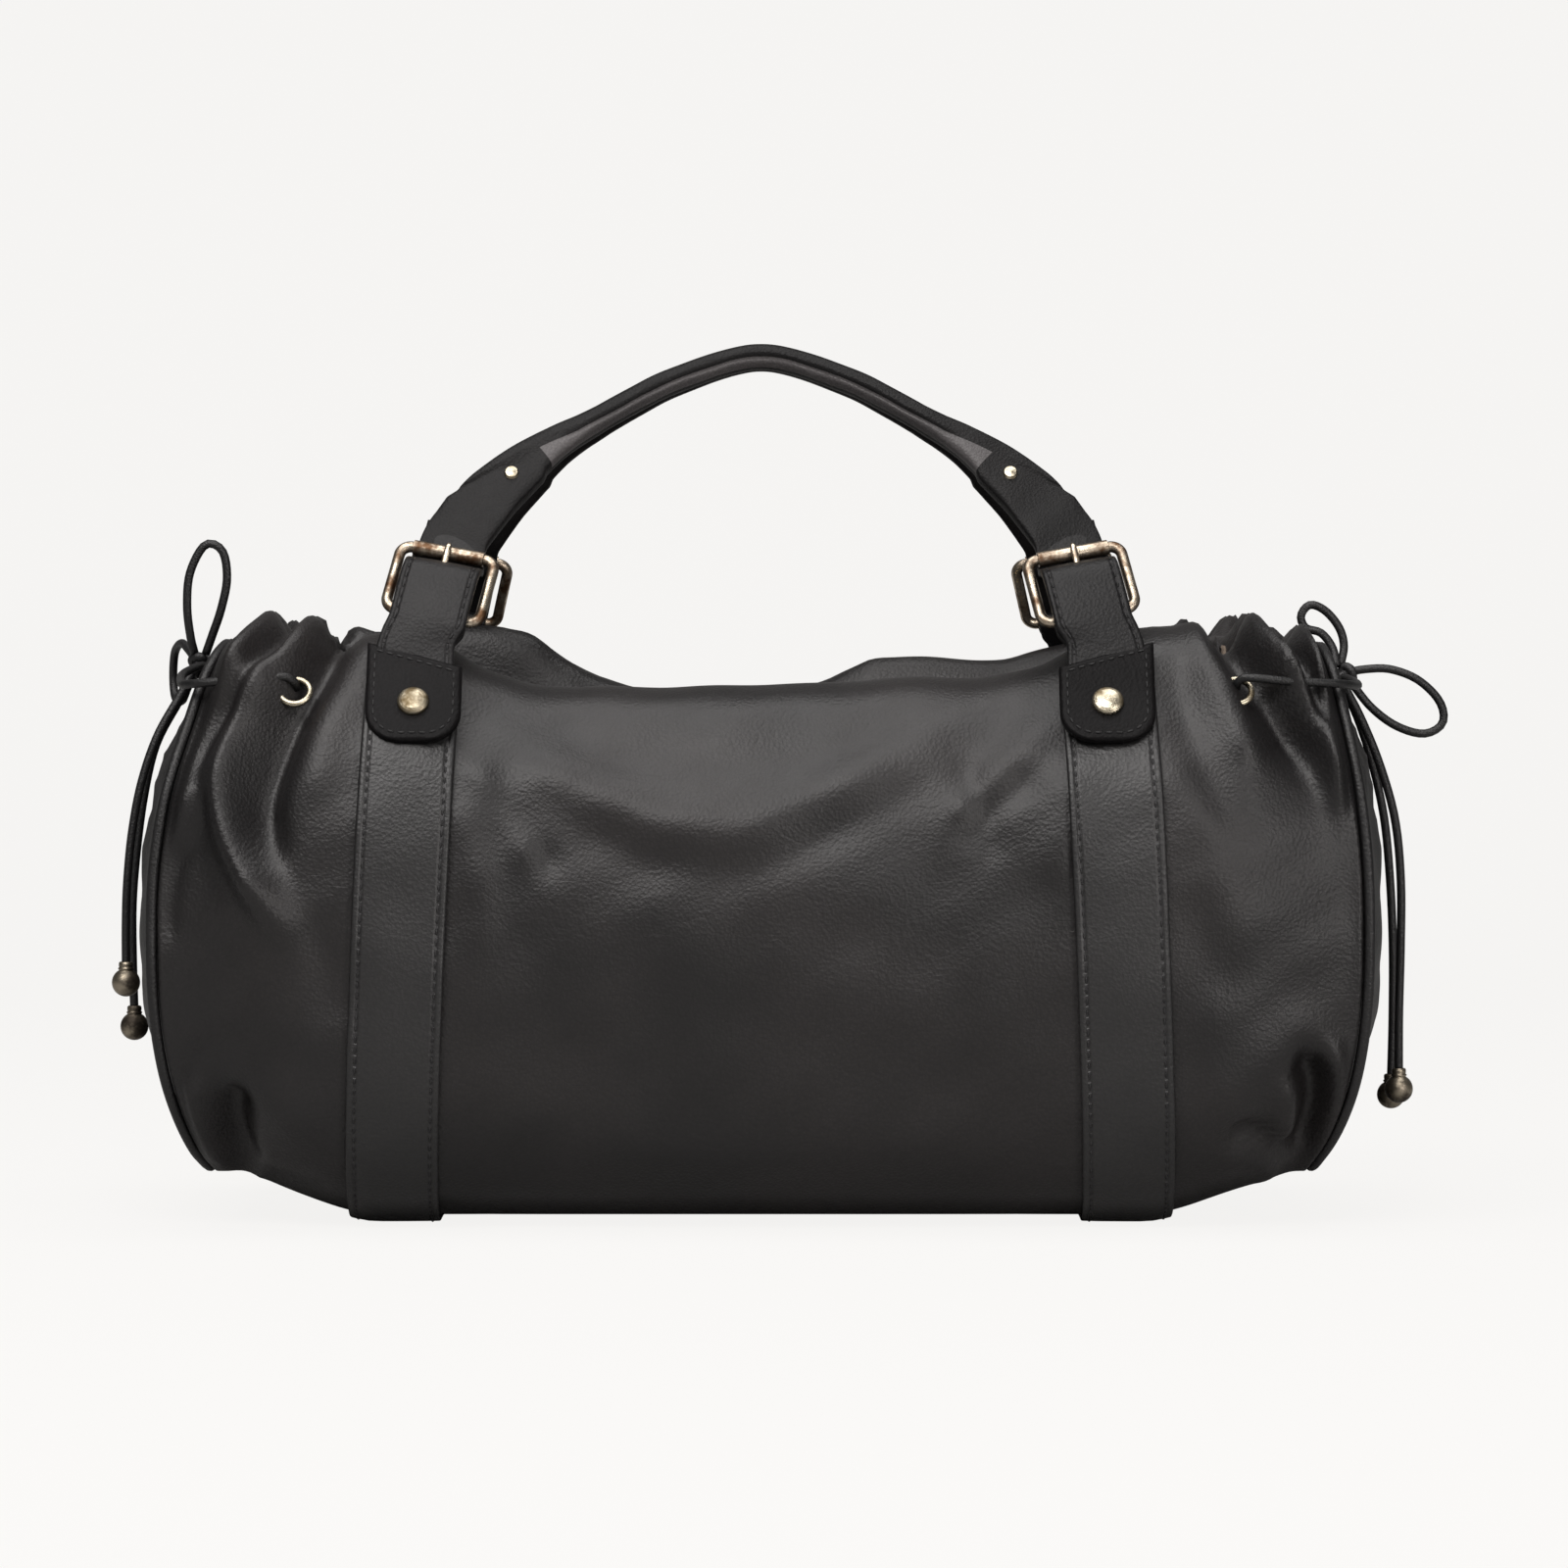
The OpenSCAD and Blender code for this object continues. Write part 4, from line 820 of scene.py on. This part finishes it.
FACING_Z = 158.7
facing = section(9.4, 1.7, 0.5, 0.1)
tape_edge = section(10.2, 0.6, 0.2)
for kind, half_x, y, z, outline, finish, slot in (
        ("facing", 131.6, 12.7, FACING_Z, facing, "strap", "trim_leather"),
        ("tape", 125.8, 8.8, 157.15, tape_edge, "tape", "zip_tape")):
    front = level_strip("front_" + kind, -half_x, half_x, -y, z, outline, finish)
    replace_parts(front, f"zip_{kind}s")
    level_strip("rear_" + kind, -half_x, half_x, y, z, outline, finish)
for x, word in ((-129, "left"), (129, "right")):
    level_strip(word + "_facing_end", x - 2.4, x + 2.4, 0.0, FACING_Z, section(15.8, 1.6, 0.5, 0.1),
        "strap", 8)
stitches("facing_stitches", [([(x, y, 159.62) for x in range(-128, 129, 4)], [(0, 0, 1)] * 65)
    for y in (-9.6, 9.6)], "bag")


# ---- the handles' own frame
HINGE_Y, HINGE_Z, TAB_X, RISE = 59.5, 187.0, 109.0, 105.0
BUCKLE_X = 106.0
LEAN, TAB_SLOPE, BUCKLE_LEAN = math.radians(30.28), math.radians(56), math.radians(12)


def on_side(y_side, x, y, z):
    """Points given for the front, or their like at the rear, turned half round the upright axis."""
    return np.stack(np.broadcast_arrays(*((x, y, z) if y_side < 0 else (-x, -y, z))), -1)


def handle_point(y_side, x, h, out):
    """A point of a handle's own plane: x, height up the handle and distance out of it."""
    x, h, out = (np.asarray(a, float) for a in (x, h, out))
    y = -HINGE_Y + h * math.sin(LEAN) - out * math.cos(LEAN)
    z = HINGE_Z + h * math.cos(LEAN) + out * math.sin(LEAN)
    return on_side(y_side, x, y, z)


def own_side(x_side, y_side):
    return -x_side if y_side > 0 else x_side


def buckle_point(x_side, y_side, across, h, out):
    s = own_side(x_side, y_side)
    a = s * BUCKLE_LEAN
    across, h = np.asarray(across, float), np.asarray(h, float)
    ease = smoothstep(-6, 4, h)
    ca, sa = np.cos(a * ease), np.sin(a * ease)
    x = s * (TAB_X - (TAB_X - BUCKLE_X) * ease) + across * ca - np.maximum(h, 0) * sa
    return handle_point(y_side, x, np.minimum(h, 0) + np.maximum(h, 0) * ca + across * sa, out)


def tab_point(x_side, y_side, across, down, out):
    """A point of a tab's own plane, down being measured from its hinge."""
    s = own_side(x_side, y_side)
    ly = -np.asarray(down, float) - 2.5
    y = -HINGE_Y + ly * math.cos(TAB_SLOPE) - out * math.sin(TAB_SLOPE)
    z = HINGE_Z + ly * math.sin(TAB_SLOPE) + out * math.cos(TAB_SLOPE)
    x = s * TAB_X + np.asarray(across, float)
    return on_side(y_side, x, y, z)


def swept_flat(keys, n, outline, place):
    """Rows of an outline swept along keys of (height, out), placed by a function."""
    line = spline(keys, n)
    t = unit_rows(np.gradient(line, axis=0))
    normal = np.stack([-t[:, 1], t[:, 0]], 1)
    normal *= np.where(normal[len(line) // 2, 1] < 0, -1, 1)
    rows = [place(outline[:, 0], p[0] + outline[:, 1] * m[0], p[1] + outline[:, 1] * m[1])
            for p, m in zip(line, normal)]
    ups = unit_rows(np.array([place(0.0, p[0] + m[0], p[1] + m[1]) - place(0.0, p[0], p[1])
                              for p, m in zip(line, normal)]))
    return np.array(rows), ups, line


def corner_word(x_side, y_side):
    return ("front" if y_side < 0 else "rear") + ("_left" if x_side < 0 else "_right")


SIDES = [(x, y) for y in (-1, 1) for x in (-1, 1)]
STRAP = section(26, 2.3, 0.5, 0.35, 9)
STRAP_KEYS = [(44, -3.9), (38, -4.0), (33, -4.15), (30.6, -4.1), (28.6, -3.2), (27.0, -0.8), (25.0, 2.6),
    (22.6, 4.6), (19, 5.3), (14, 5.3), (9, 5.0), (4, 4.3), (0, 3.3), (-5, 1.9), (-11, 0.4), (-15, -0.1)]
CHAPE = section(9.0, 1.3, 0.4)
CHAPE_KEYS = [(-12, 0.2), (-6, 0.7), (0, 1.4), (4, 1.7), (7, 2.25), (9.3, 1.9), (10.4, 0.3), (9.8, -1.5),
    (8, -2.3), (5.5, -2.1), (3, -1.7), (-1, -1.2), (-4, -0.9)]

for xs, ys in SIDES:
    word = corner_word(xs, ys)
    handle = word.split("_")[0] + "_handle"
    place = lambda a, h, o, xs=xs, ys=ys: buckle_point(xs, ys, a, h, o)
    narrowed = lambda a, h, o, place=place: place(np.asarray(a) * np.interp(h, [20, 26, 31, 34],
        [0.945, 0.945, 0.88, 0.78]), h, o)
    over, under = (tuple(handle_point(ys, own_side(xs, ys) * BUCKLE_X, h, 0) * MM) for h in (5, -5))
    # the strap end, which goes round the roller and down in front
    rows, ups, line = swept_flat(STRAP_KEYS, 150, STRAP, narrowed)
    strap = swept(word + "_strap_leather", rows, STRAP[:, 0], "strap", None)
    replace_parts(strap, word + "_strap")
    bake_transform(strap)
    mid = slice(int(np.argmax(line[:, 0] < 25)), int(np.argmax(line[:, 0] < -7)))
    sewn = stitches(word + "_strap_stitches", edge_line(rows[mid], ups[mid], STRAP, 2.3, 0.1), None)
    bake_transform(sewn)
    # the loop of leather round the heel bar, in two halves beside the prong
    for k in (-1, 1):
        shift = lambda a, h, o, k=k, place=place: place(a + k * 6.9, h, o)
        rows, ups, line = swept_flat(CHAPE_KEYS, 70, CHAPE, shift)
        half = swept(f"{word}_chape_{'outer' if k > 0 else 'inner'}", rows, CHAPE[:, 0], "strap", None)
        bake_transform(half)
        if k > 0:
            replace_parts(half, word + "_chape")


# ---- prongs
# The eye's outline round the heel bar: across it, and its radius
PRONG_EYE = ((-1.3, 1.75), (-1.1, 2.45), (-0.5, 2.65), (0.5, 2.65), (1.1, 2.45), (1.3, 1.75), (-1.3, 1.75))
for xs, ys in SIDES:
    node = corner_word(xs, ys) + "_prong"
    keys = [(9.6, 0.35), (13, 0.95), (18, 1.75), (23, 2.55), (27.5, 3.3), (30.2, 3.75), (32.2, 3.7),
        (33.3, 3.3)]
    line = spline(keys, 40)
    path = buckle_point(xs, ys, np.zeros(40), line[:, 0], line[:, 1])
    across = buckle_point(xs, ys, 1.0, 20, 0) - buckle_point(xs, ys, 0.0, 20, 0)
    out = handle_point(ys, 0, 0, 1) - handle_point(ys, 0, 0, 0)
    wide = np.interp(line[:, 0], [9, 22, 32, 33.3], [1.35, 1.2, 1.05, 0.55])
    rows = [[p + across * w * math.cos(a) + out * 0.8 * min(1, w) * math.sin(a)
        for a in np.linspace(0, 2 * math.pi, 17)] for p, w in zip(path, wide)]
    bm = skin([[list(q) for q in r] for r in rows])
    close_ends(bm)
    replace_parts(piece(node + "_bar", bm, "buckle", node), node)
    turn = np.linspace(0, 2 * math.pi, 33)
    eye = [[buckle_point(xs, ys, c, 8 + math.cos(a) * r, math.sin(a) * r) for c, r in PRONG_EYE]
           for a in turn]
    bm = skin([[list(q) for q in r] for r in eye])
    piece(node + "_eye", bm, "buckle", node)


# ---- tabs
TAB_W, TAB_LEN, TAB_CORNER = 30.0, 37.0, 11
TAB_TOP, TAB_TILT, TAB_FACE = 5.6, 4.6, 0.85
SEWN_INSET, SEWN_CORNER = 2.5, 8.5


def tab_width(down):
    """Half the tab's width at a distance down it: straight sides, round at the bottom."""
    d = np.asarray(down, float)
    past = np.clip((d - (TAB_LEN - TAB_CORNER)) / TAB_CORNER, 0, 1)
    return TAB_W / 2 - TAB_CORNER * (1 - np.sqrt(np.maximum(1 - past ** 2, 0)))


def sewn_half(d):
    """Half the width between the tab's rows of stitches at a distance down it."""
    past = d - (TAB_LEN - TAB_CORNER)
    if past <= 0:
        return float(tab_width(d)) - SEWN_INSET
    return 4 + SEWN_CORNER * math.sqrt(max(0, 1 - (past / SEWN_CORNER) ** 2))


for xs, ys in SIDES:
    word = corner_word(xs, ys)
    own = own_side(xs, ys)
    top_rows, under_rows = [], []
    grid_n, cols = 46, 25
    face = []
    for i in range(grid_n):
        v = i / (grid_n - 1)
        row = []
        for j in range(cols):
            u = 2 * j / (cols - 1) - 1
            start = TAB_TOP - TAB_TILT * u * own
            down = start + (TAB_LEN - 0.02 - start) * v
            half = float(tab_width(down))
            row.append((u * half, down, u, v))
        face.append(row)

    def lifted(a, down, u, v):
        """How far the tab's upper face stands out of its plane."""
        rim = min(1.0, (1 - abs(u)) * 12) if abs(u) < 1 else 0.0
        rim = min(rim, (1 - v) * 20, 1.0)
        head = min(1.0, v * 26)
        out = TAB_FACE + 0.55 * math.sqrt(max(0, 1 - (1 - rim) ** 2)) * head
        out += 1.25 * float(smoothstep(20, 4, down)) - 0.35 * math.exp(-((down - 23) ** 2 + a * a) / 40)
        return out

    def beneath(a, down, u, v):
        """How far its under face does, always below the upper one."""
        return min(-1.1 + float(smoothstep(20, 4, down)), lifted(a, down, u, v) - 0.5)

    for row in face:
        top_rows.append([tab_point(xs, ys, a, d, lifted(a, d, u, v)) for a, d, u, v in row])
        under_rows.append([tab_point(xs, ys, a, d, beneath(a, d, u, v)) for a, d, u, v in row])
    rows = [list(t) + list(b)[::-1] + [t[0]] for t, b in zip(top_rows, under_rows)]
    across = np.array([r[0] for r in face[0]] + [r[0] for r in face[0]][::-1] + [face[0][0][0]])
    obj = swept(word + "_tab_leather", rows, across, "tab", "bag")
    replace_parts(obj, word + "_tab")
    # stitches round the tab, in from its edge
    up = tab_point(xs, ys, 0, 10, 1.0) - tab_point(xs, ys, 0, 10, 0.0)
    bend = TAB_LEN - TAB_CORNER
    downs = np.concatenate([np.linspace(5, bend, 14), bend + SEWN_CORNER * np.sin(np.linspace(0.1,
        math.pi / 2, 12))])
    right = [(sewn_half(d), d) for d in downs]
    outline = right + [(-a, d) for a, d in right[::-1]]
    outline = [(a, max(d, TAB_TOP - TAB_TILT * (a / 15) * own + 2.4)) for a, d in outline]

    def tab_top(a, d):
        half = float(tab_width(d))
        u = a / half
        start = TAB_TOP - TAB_TILT * u * own
        return tab_point(xs, ys, a, d, lifted(a, d, u, (d - start) / (TAB_LEN - start)) + 0.12)

    across_top = [(a, TAB_TOP - TAB_TILT * (a / 15) * own + 2.4) for a in np.linspace(-12.5, 12.5, 14)]
    lines = [([tab_top(a, d) for a, d in outline], [up] * len(outline)),
        ([tab_top(a, d) for a, d in across_top], [up] * 14)]
    stitches(word + "_tab_stitches", lines, "bag", pitch=3.2)


# ---- grips
# The roll: x as a share of TAB_X, height as a share of RISE, flatness, depth of the roll
GRIP_SHARES = [(0.472, 0.781, 0.12, 0.85), (0.376, 0.845, 0.08, 0.95), (0.272, 0.907, 0.05, 1),
    (0.138, 0.967, 0.02, 1), (0.06, 0.993, 0.01, 1), (0, 1, 0, 1)]


# Keys up to the roll: x, height, flatness, depth of the roll, thickness of the flat part
grip_half = [(99.0, 33.3, 1, 0, 2.5), (98.2, 36.5, 1, 0, 2.9), (96.8, 40, 1, 0, 3.6),
    (94.2, 44.2, 1, 0, 4.6), (90.6, 49.5, 1, 0, 5.3), (86.2, 55.3, 0.8, 0.1, 5.5),
    (80.4, 61.4, 0.62, 0.25, 5.5), (73.2, 68.0, 0.42, 0.45, 5.5), (64.4, 74.2, 0.22, 0.65, 5.5)]
grip_half += [(x * TAB_X, y * RISE, flat, deep, 5.5) for x, y, flat, deep in GRIP_SHARES]
grip_rows = np.array(grip_half + [(-r[0], *r[1:]) for r in grip_half[-2::-1]])
grip_line = spline(grip_rows, 300)
grip_run = run_along(grip_line[:, :2])
ROUND, ROLL_DEPTH, FLAT_LEVEL = 48, 9.2, -4.0
# Half widths by the distance from the roller, with the step where the flap ends on each side
OUTER_HALF = [(0, 10.9), (10, 10.5), (16, 10.7), (19, 9.5), (26, 8.9), (34, 7.9), (43, 6.5), (52, 5.2),
    (62, 4.1), (70, 3.6)]
INNER_HALF = [(0, 10.9), (10, 10.2), (24, 9.7), (34, 9.1), (41, 8.5), (44, 7.0), (52, 5.5), (62, 4.2),
    (70, 3.6)]
FLAP_END = 45
SEAM_SHARES = [(0, 0.7), (16, 0.62), (24, 0.4), (40, 0.12), (60, -0.2), (76, -0.27)]


def grip_mesh_rows(ys):
    """Rows round the grip, across it from the inner side to the outer, and where its seam runs."""
    rows = []
    t = unit_rows(np.gradient(grip_line[:, :2], axis=0))
    for i, (x, y, flat, deep, flat_t) in enumerate(grip_line):
        flat, deep = min(max(flat, 0), 1), min(max(deep, 0), 1)
        away = min(grip_run[i], grip_run[-1] - grip_run[i])
        outer_half, inner_half = along(OUTER_HALF, away), along(INNER_HALF, away)
        depth = flat_t + (ROLL_DEPTH - flat_t) * deep
        power = 2 / (2.2 + 4.5 * flat)
        outwards = np.array([t[i, 1], -t[i, 0]])
        if outwards @ (np.array([x, y]) - np.array([0, 40])) < 0:
            outwards = -outwards
        seam_share = along(SEAM_SHARES, away)
        level = FLAT_LEVEL * (1 - deep)
        row = []
        seam_c = math.copysign((2 * abs(min(seam_share, 0.49))) ** (1 / power), seam_share)
        seam_a = math.acos(seam_c)
        quarter = ROUND // 4
        for k in range(ROUND + 1):
            a = math.pi * k / (2 * quarter)
            if k < quarter:
                a = seam_a * k / quarter
            elif k < 2 * quarter:
                a = seam_a + (math.pi - seam_a) * (k - quarter) / quarter
            c, s = math.cos(a), math.sin(a)
            across = math.copysign(abs(c) ** power, c) * 0.5
            out = math.copysign(abs(s) ** power, s) * 0.5
            swell = 0.0
            if s > 0 and away > 15:
                gap = (across - seam_share) * (outer_half + inner_half)
                step = 0.7 * float(smoothstep(-0.25, 0.35, gap))
                groove = 0.5 * math.exp(-((gap + 0.3) / 0.5) ** 2)
                swell = (step - groove) * float(smoothstep(15, 26, away))
            p = np.array([x, y]) + outwards * (across * 2 * (outer_half if across > 0 else inner_half))
            row.append((p[0], p[1], level + out * depth + swell + 0.1 * math.sin(away * 0.35 + a * 2)))
        rows.append(handle_point(ys, *np.array(row).T))
    return rows


def paint_bounce_light_on_lower_half(obj):
    """Paints the faces below the grip's seam with the paler leather: painted light, standing in for the
    pale floor's light bouncing up onto the lower side of the roll.
    """
    obj.data.materials.append(MATS["under"])
    layer = obj.data.uv_layers.active.data
    run = grip_run * MM
    for face in obj.data.polygons:
        u = sum(layer[k].uv[0] for k in face.loop_indices) / len(face.loop_indices)
        v = sum(layer[k].uv[1] for k in face.loop_indices) / len(face.loop_indices)
        away = min(v, run[-1] - v) / MM
        # the faces below the seam on the roll get the paler leather: painted bounce light
        if away > FLAP_END and 0.25 < u < 0.5:
            face.material_index = 1


around = np.linspace(-0.5, 0.5, ROUND + 1)
for ys, word in ((-1, "front"), (1, "rear")):
    obj = swept(word + "_grip_leather", grip_mesh_rows(ys), around, "grip", word + "_handle")
    paint_bounce_light_on_lower_half(obj)
    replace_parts(obj, word + "_grip")

# ---- finishes for the metal and the board
METALS = {"zip_teeth": "zip", "zip_stops": "zip", "zip_slider": "zip", "zip_pull": "zip",
    "tab_rivets": "rivet", "eyelets": "rivet", "front_grip_rivets": "rivet", "rear_grip_rivets": "rivet",
    "base_board": "board"}
for xs, ys in SIDES:
    word = corner_word(xs, ys)
    METALS.update({word + "_frame": "buckle", word + "_roller": "buckle", word + "_prong": "buckle"})
for node, finish in METALS.items():
    obj = bpy.data.objects[node]
    if not obj.material_slots:
        obj.data.materials.append(MATS[finish])
    for one in obj.material_slots:
        one.material = MATS[finish]


# ---- floor, backdrop and light
def pale_ground():
    f = Finish("pale_ground", Roughness=0.9, Base_Color=(0.42, 0.418, 0.412))
    # the camera sees mostly a glow of the photograph's tone, and through it the shadow
    glow = f.node("ShaderNodeEmission", {}, {"Color": (1.0, 0.99, 0.975), "Strength": 1.0})[0]
    path = f.node("ShaderNodeLightPath")
    share = path[0] * 0.88
    mixed = f.node("ShaderNodeMixShader", {}, [share, Val(f, f.bsdf.outputs[0]), glow])[0]
    f.put(f.out.inputs[0], mixed)
    return f.mat


FLOOR_Z, FLOOR_FRONT, FLOOR_BACK, BEND_R = -0.0005, -3.2, 1.2, 0.8
bm = bmesh.new()
bmesh.ops.create_grid(bm, x_segments=4, y_segments=60, size=1.0)
for v in bm.verts:
    t = (v.co.y + 1) * 0.5
    x = v.co.x * 4.0
    if t < 0.6:
        v.co = Vector((x, FLOOR_FRONT + t / 0.6 * (FLOOR_BACK - FLOOR_FRONT), FLOOR_Z))
    elif t < 0.8:
        a = (t - 0.6) / 0.2 * math.pi / 2
        v.co = Vector((x, FLOOR_BACK + BEND_R * math.sin(a), BEND_R - BEND_R * math.cos(a) + FLOOR_Z))
    else:
        v.co = Vector((x, FLOOR_BACK + BEND_R, BEND_R + (t - 0.8) / 0.2 * 2.6))
mesh = bpy.data.meshes.new("backdrop")
bm.to_mesh(mesh)
bm.free()
backdrop = bpy.data.objects.new("backdrop", mesh)
bpy.context.scene.collection.objects.link(backdrop)
mesh.polygons.foreach_set("use_smooth", [True] * len(mesh.polygons))
mesh.materials.append(pale_ground())


def lamp(name, at, towards, size, power, colour=(1, 1, 1)):
    data = bpy.data.lights.new(name, "AREA")
    data.shape, data.size, data.size_y = "RECTANGLE", size[0], size[1]
    data.energy, data.color = power, colour
    obj = bpy.data.objects.new(name, data)
    obj.location = at
    obj.rotation_euler = (Vector(towards) - Vector(at)).to_track_quat("-Z", "Y").to_euler()
    bpy.context.scene.collection.objects.link(obj)


lamp("key_softbox", (-0.45, -1.35, 1.5), (0, 0, 0.12), (1.5, 0.8), 34, (1, 0.97, 0.955))
lamp("fill_softbox", (1.1, -1.5, 0.5), (0, 0, 0.1), (0.5, 0.9), 12, (1, 0.96, 0.94))
lamp("top_softbox", (0.0, -0.1, 1.9), (0, 0, 0.1), (1.8, 0.9), 22, (1, 0.98, 0.97))
world = bpy.data.worlds.new("studio")
bpy.context.scene.world = world
world.use_nodes = True
# The room lights the bag from all sides; the camera sees it as the photograph's pale ground
tree = world.node_tree
room = tree.nodes["Background"]
room.inputs[0].default_value = (0.96, 0.955, 0.945, 1)
room.inputs[1].default_value = 0.14
seen = tree.nodes.new("ShaderNodeBackground")
seen.inputs[0].default_value = (0.915, 0.905, 0.89, 1)
path = tree.nodes.new("ShaderNodeLightPath")
mix = tree.nodes.new("ShaderNodeMixShader")
tree.links.new(path.outputs["Is Camera Ray"], mix.inputs[0])
tree.links.new(room.outputs[0], mix.inputs[1])
tree.links.new(seen.outputs[0], mix.inputs[2])
tree.links.new(mix.outputs[0], tree.nodes["World Output"].inputs[0])
bpy.context.scene.view_settings.view_transform = "Standard"
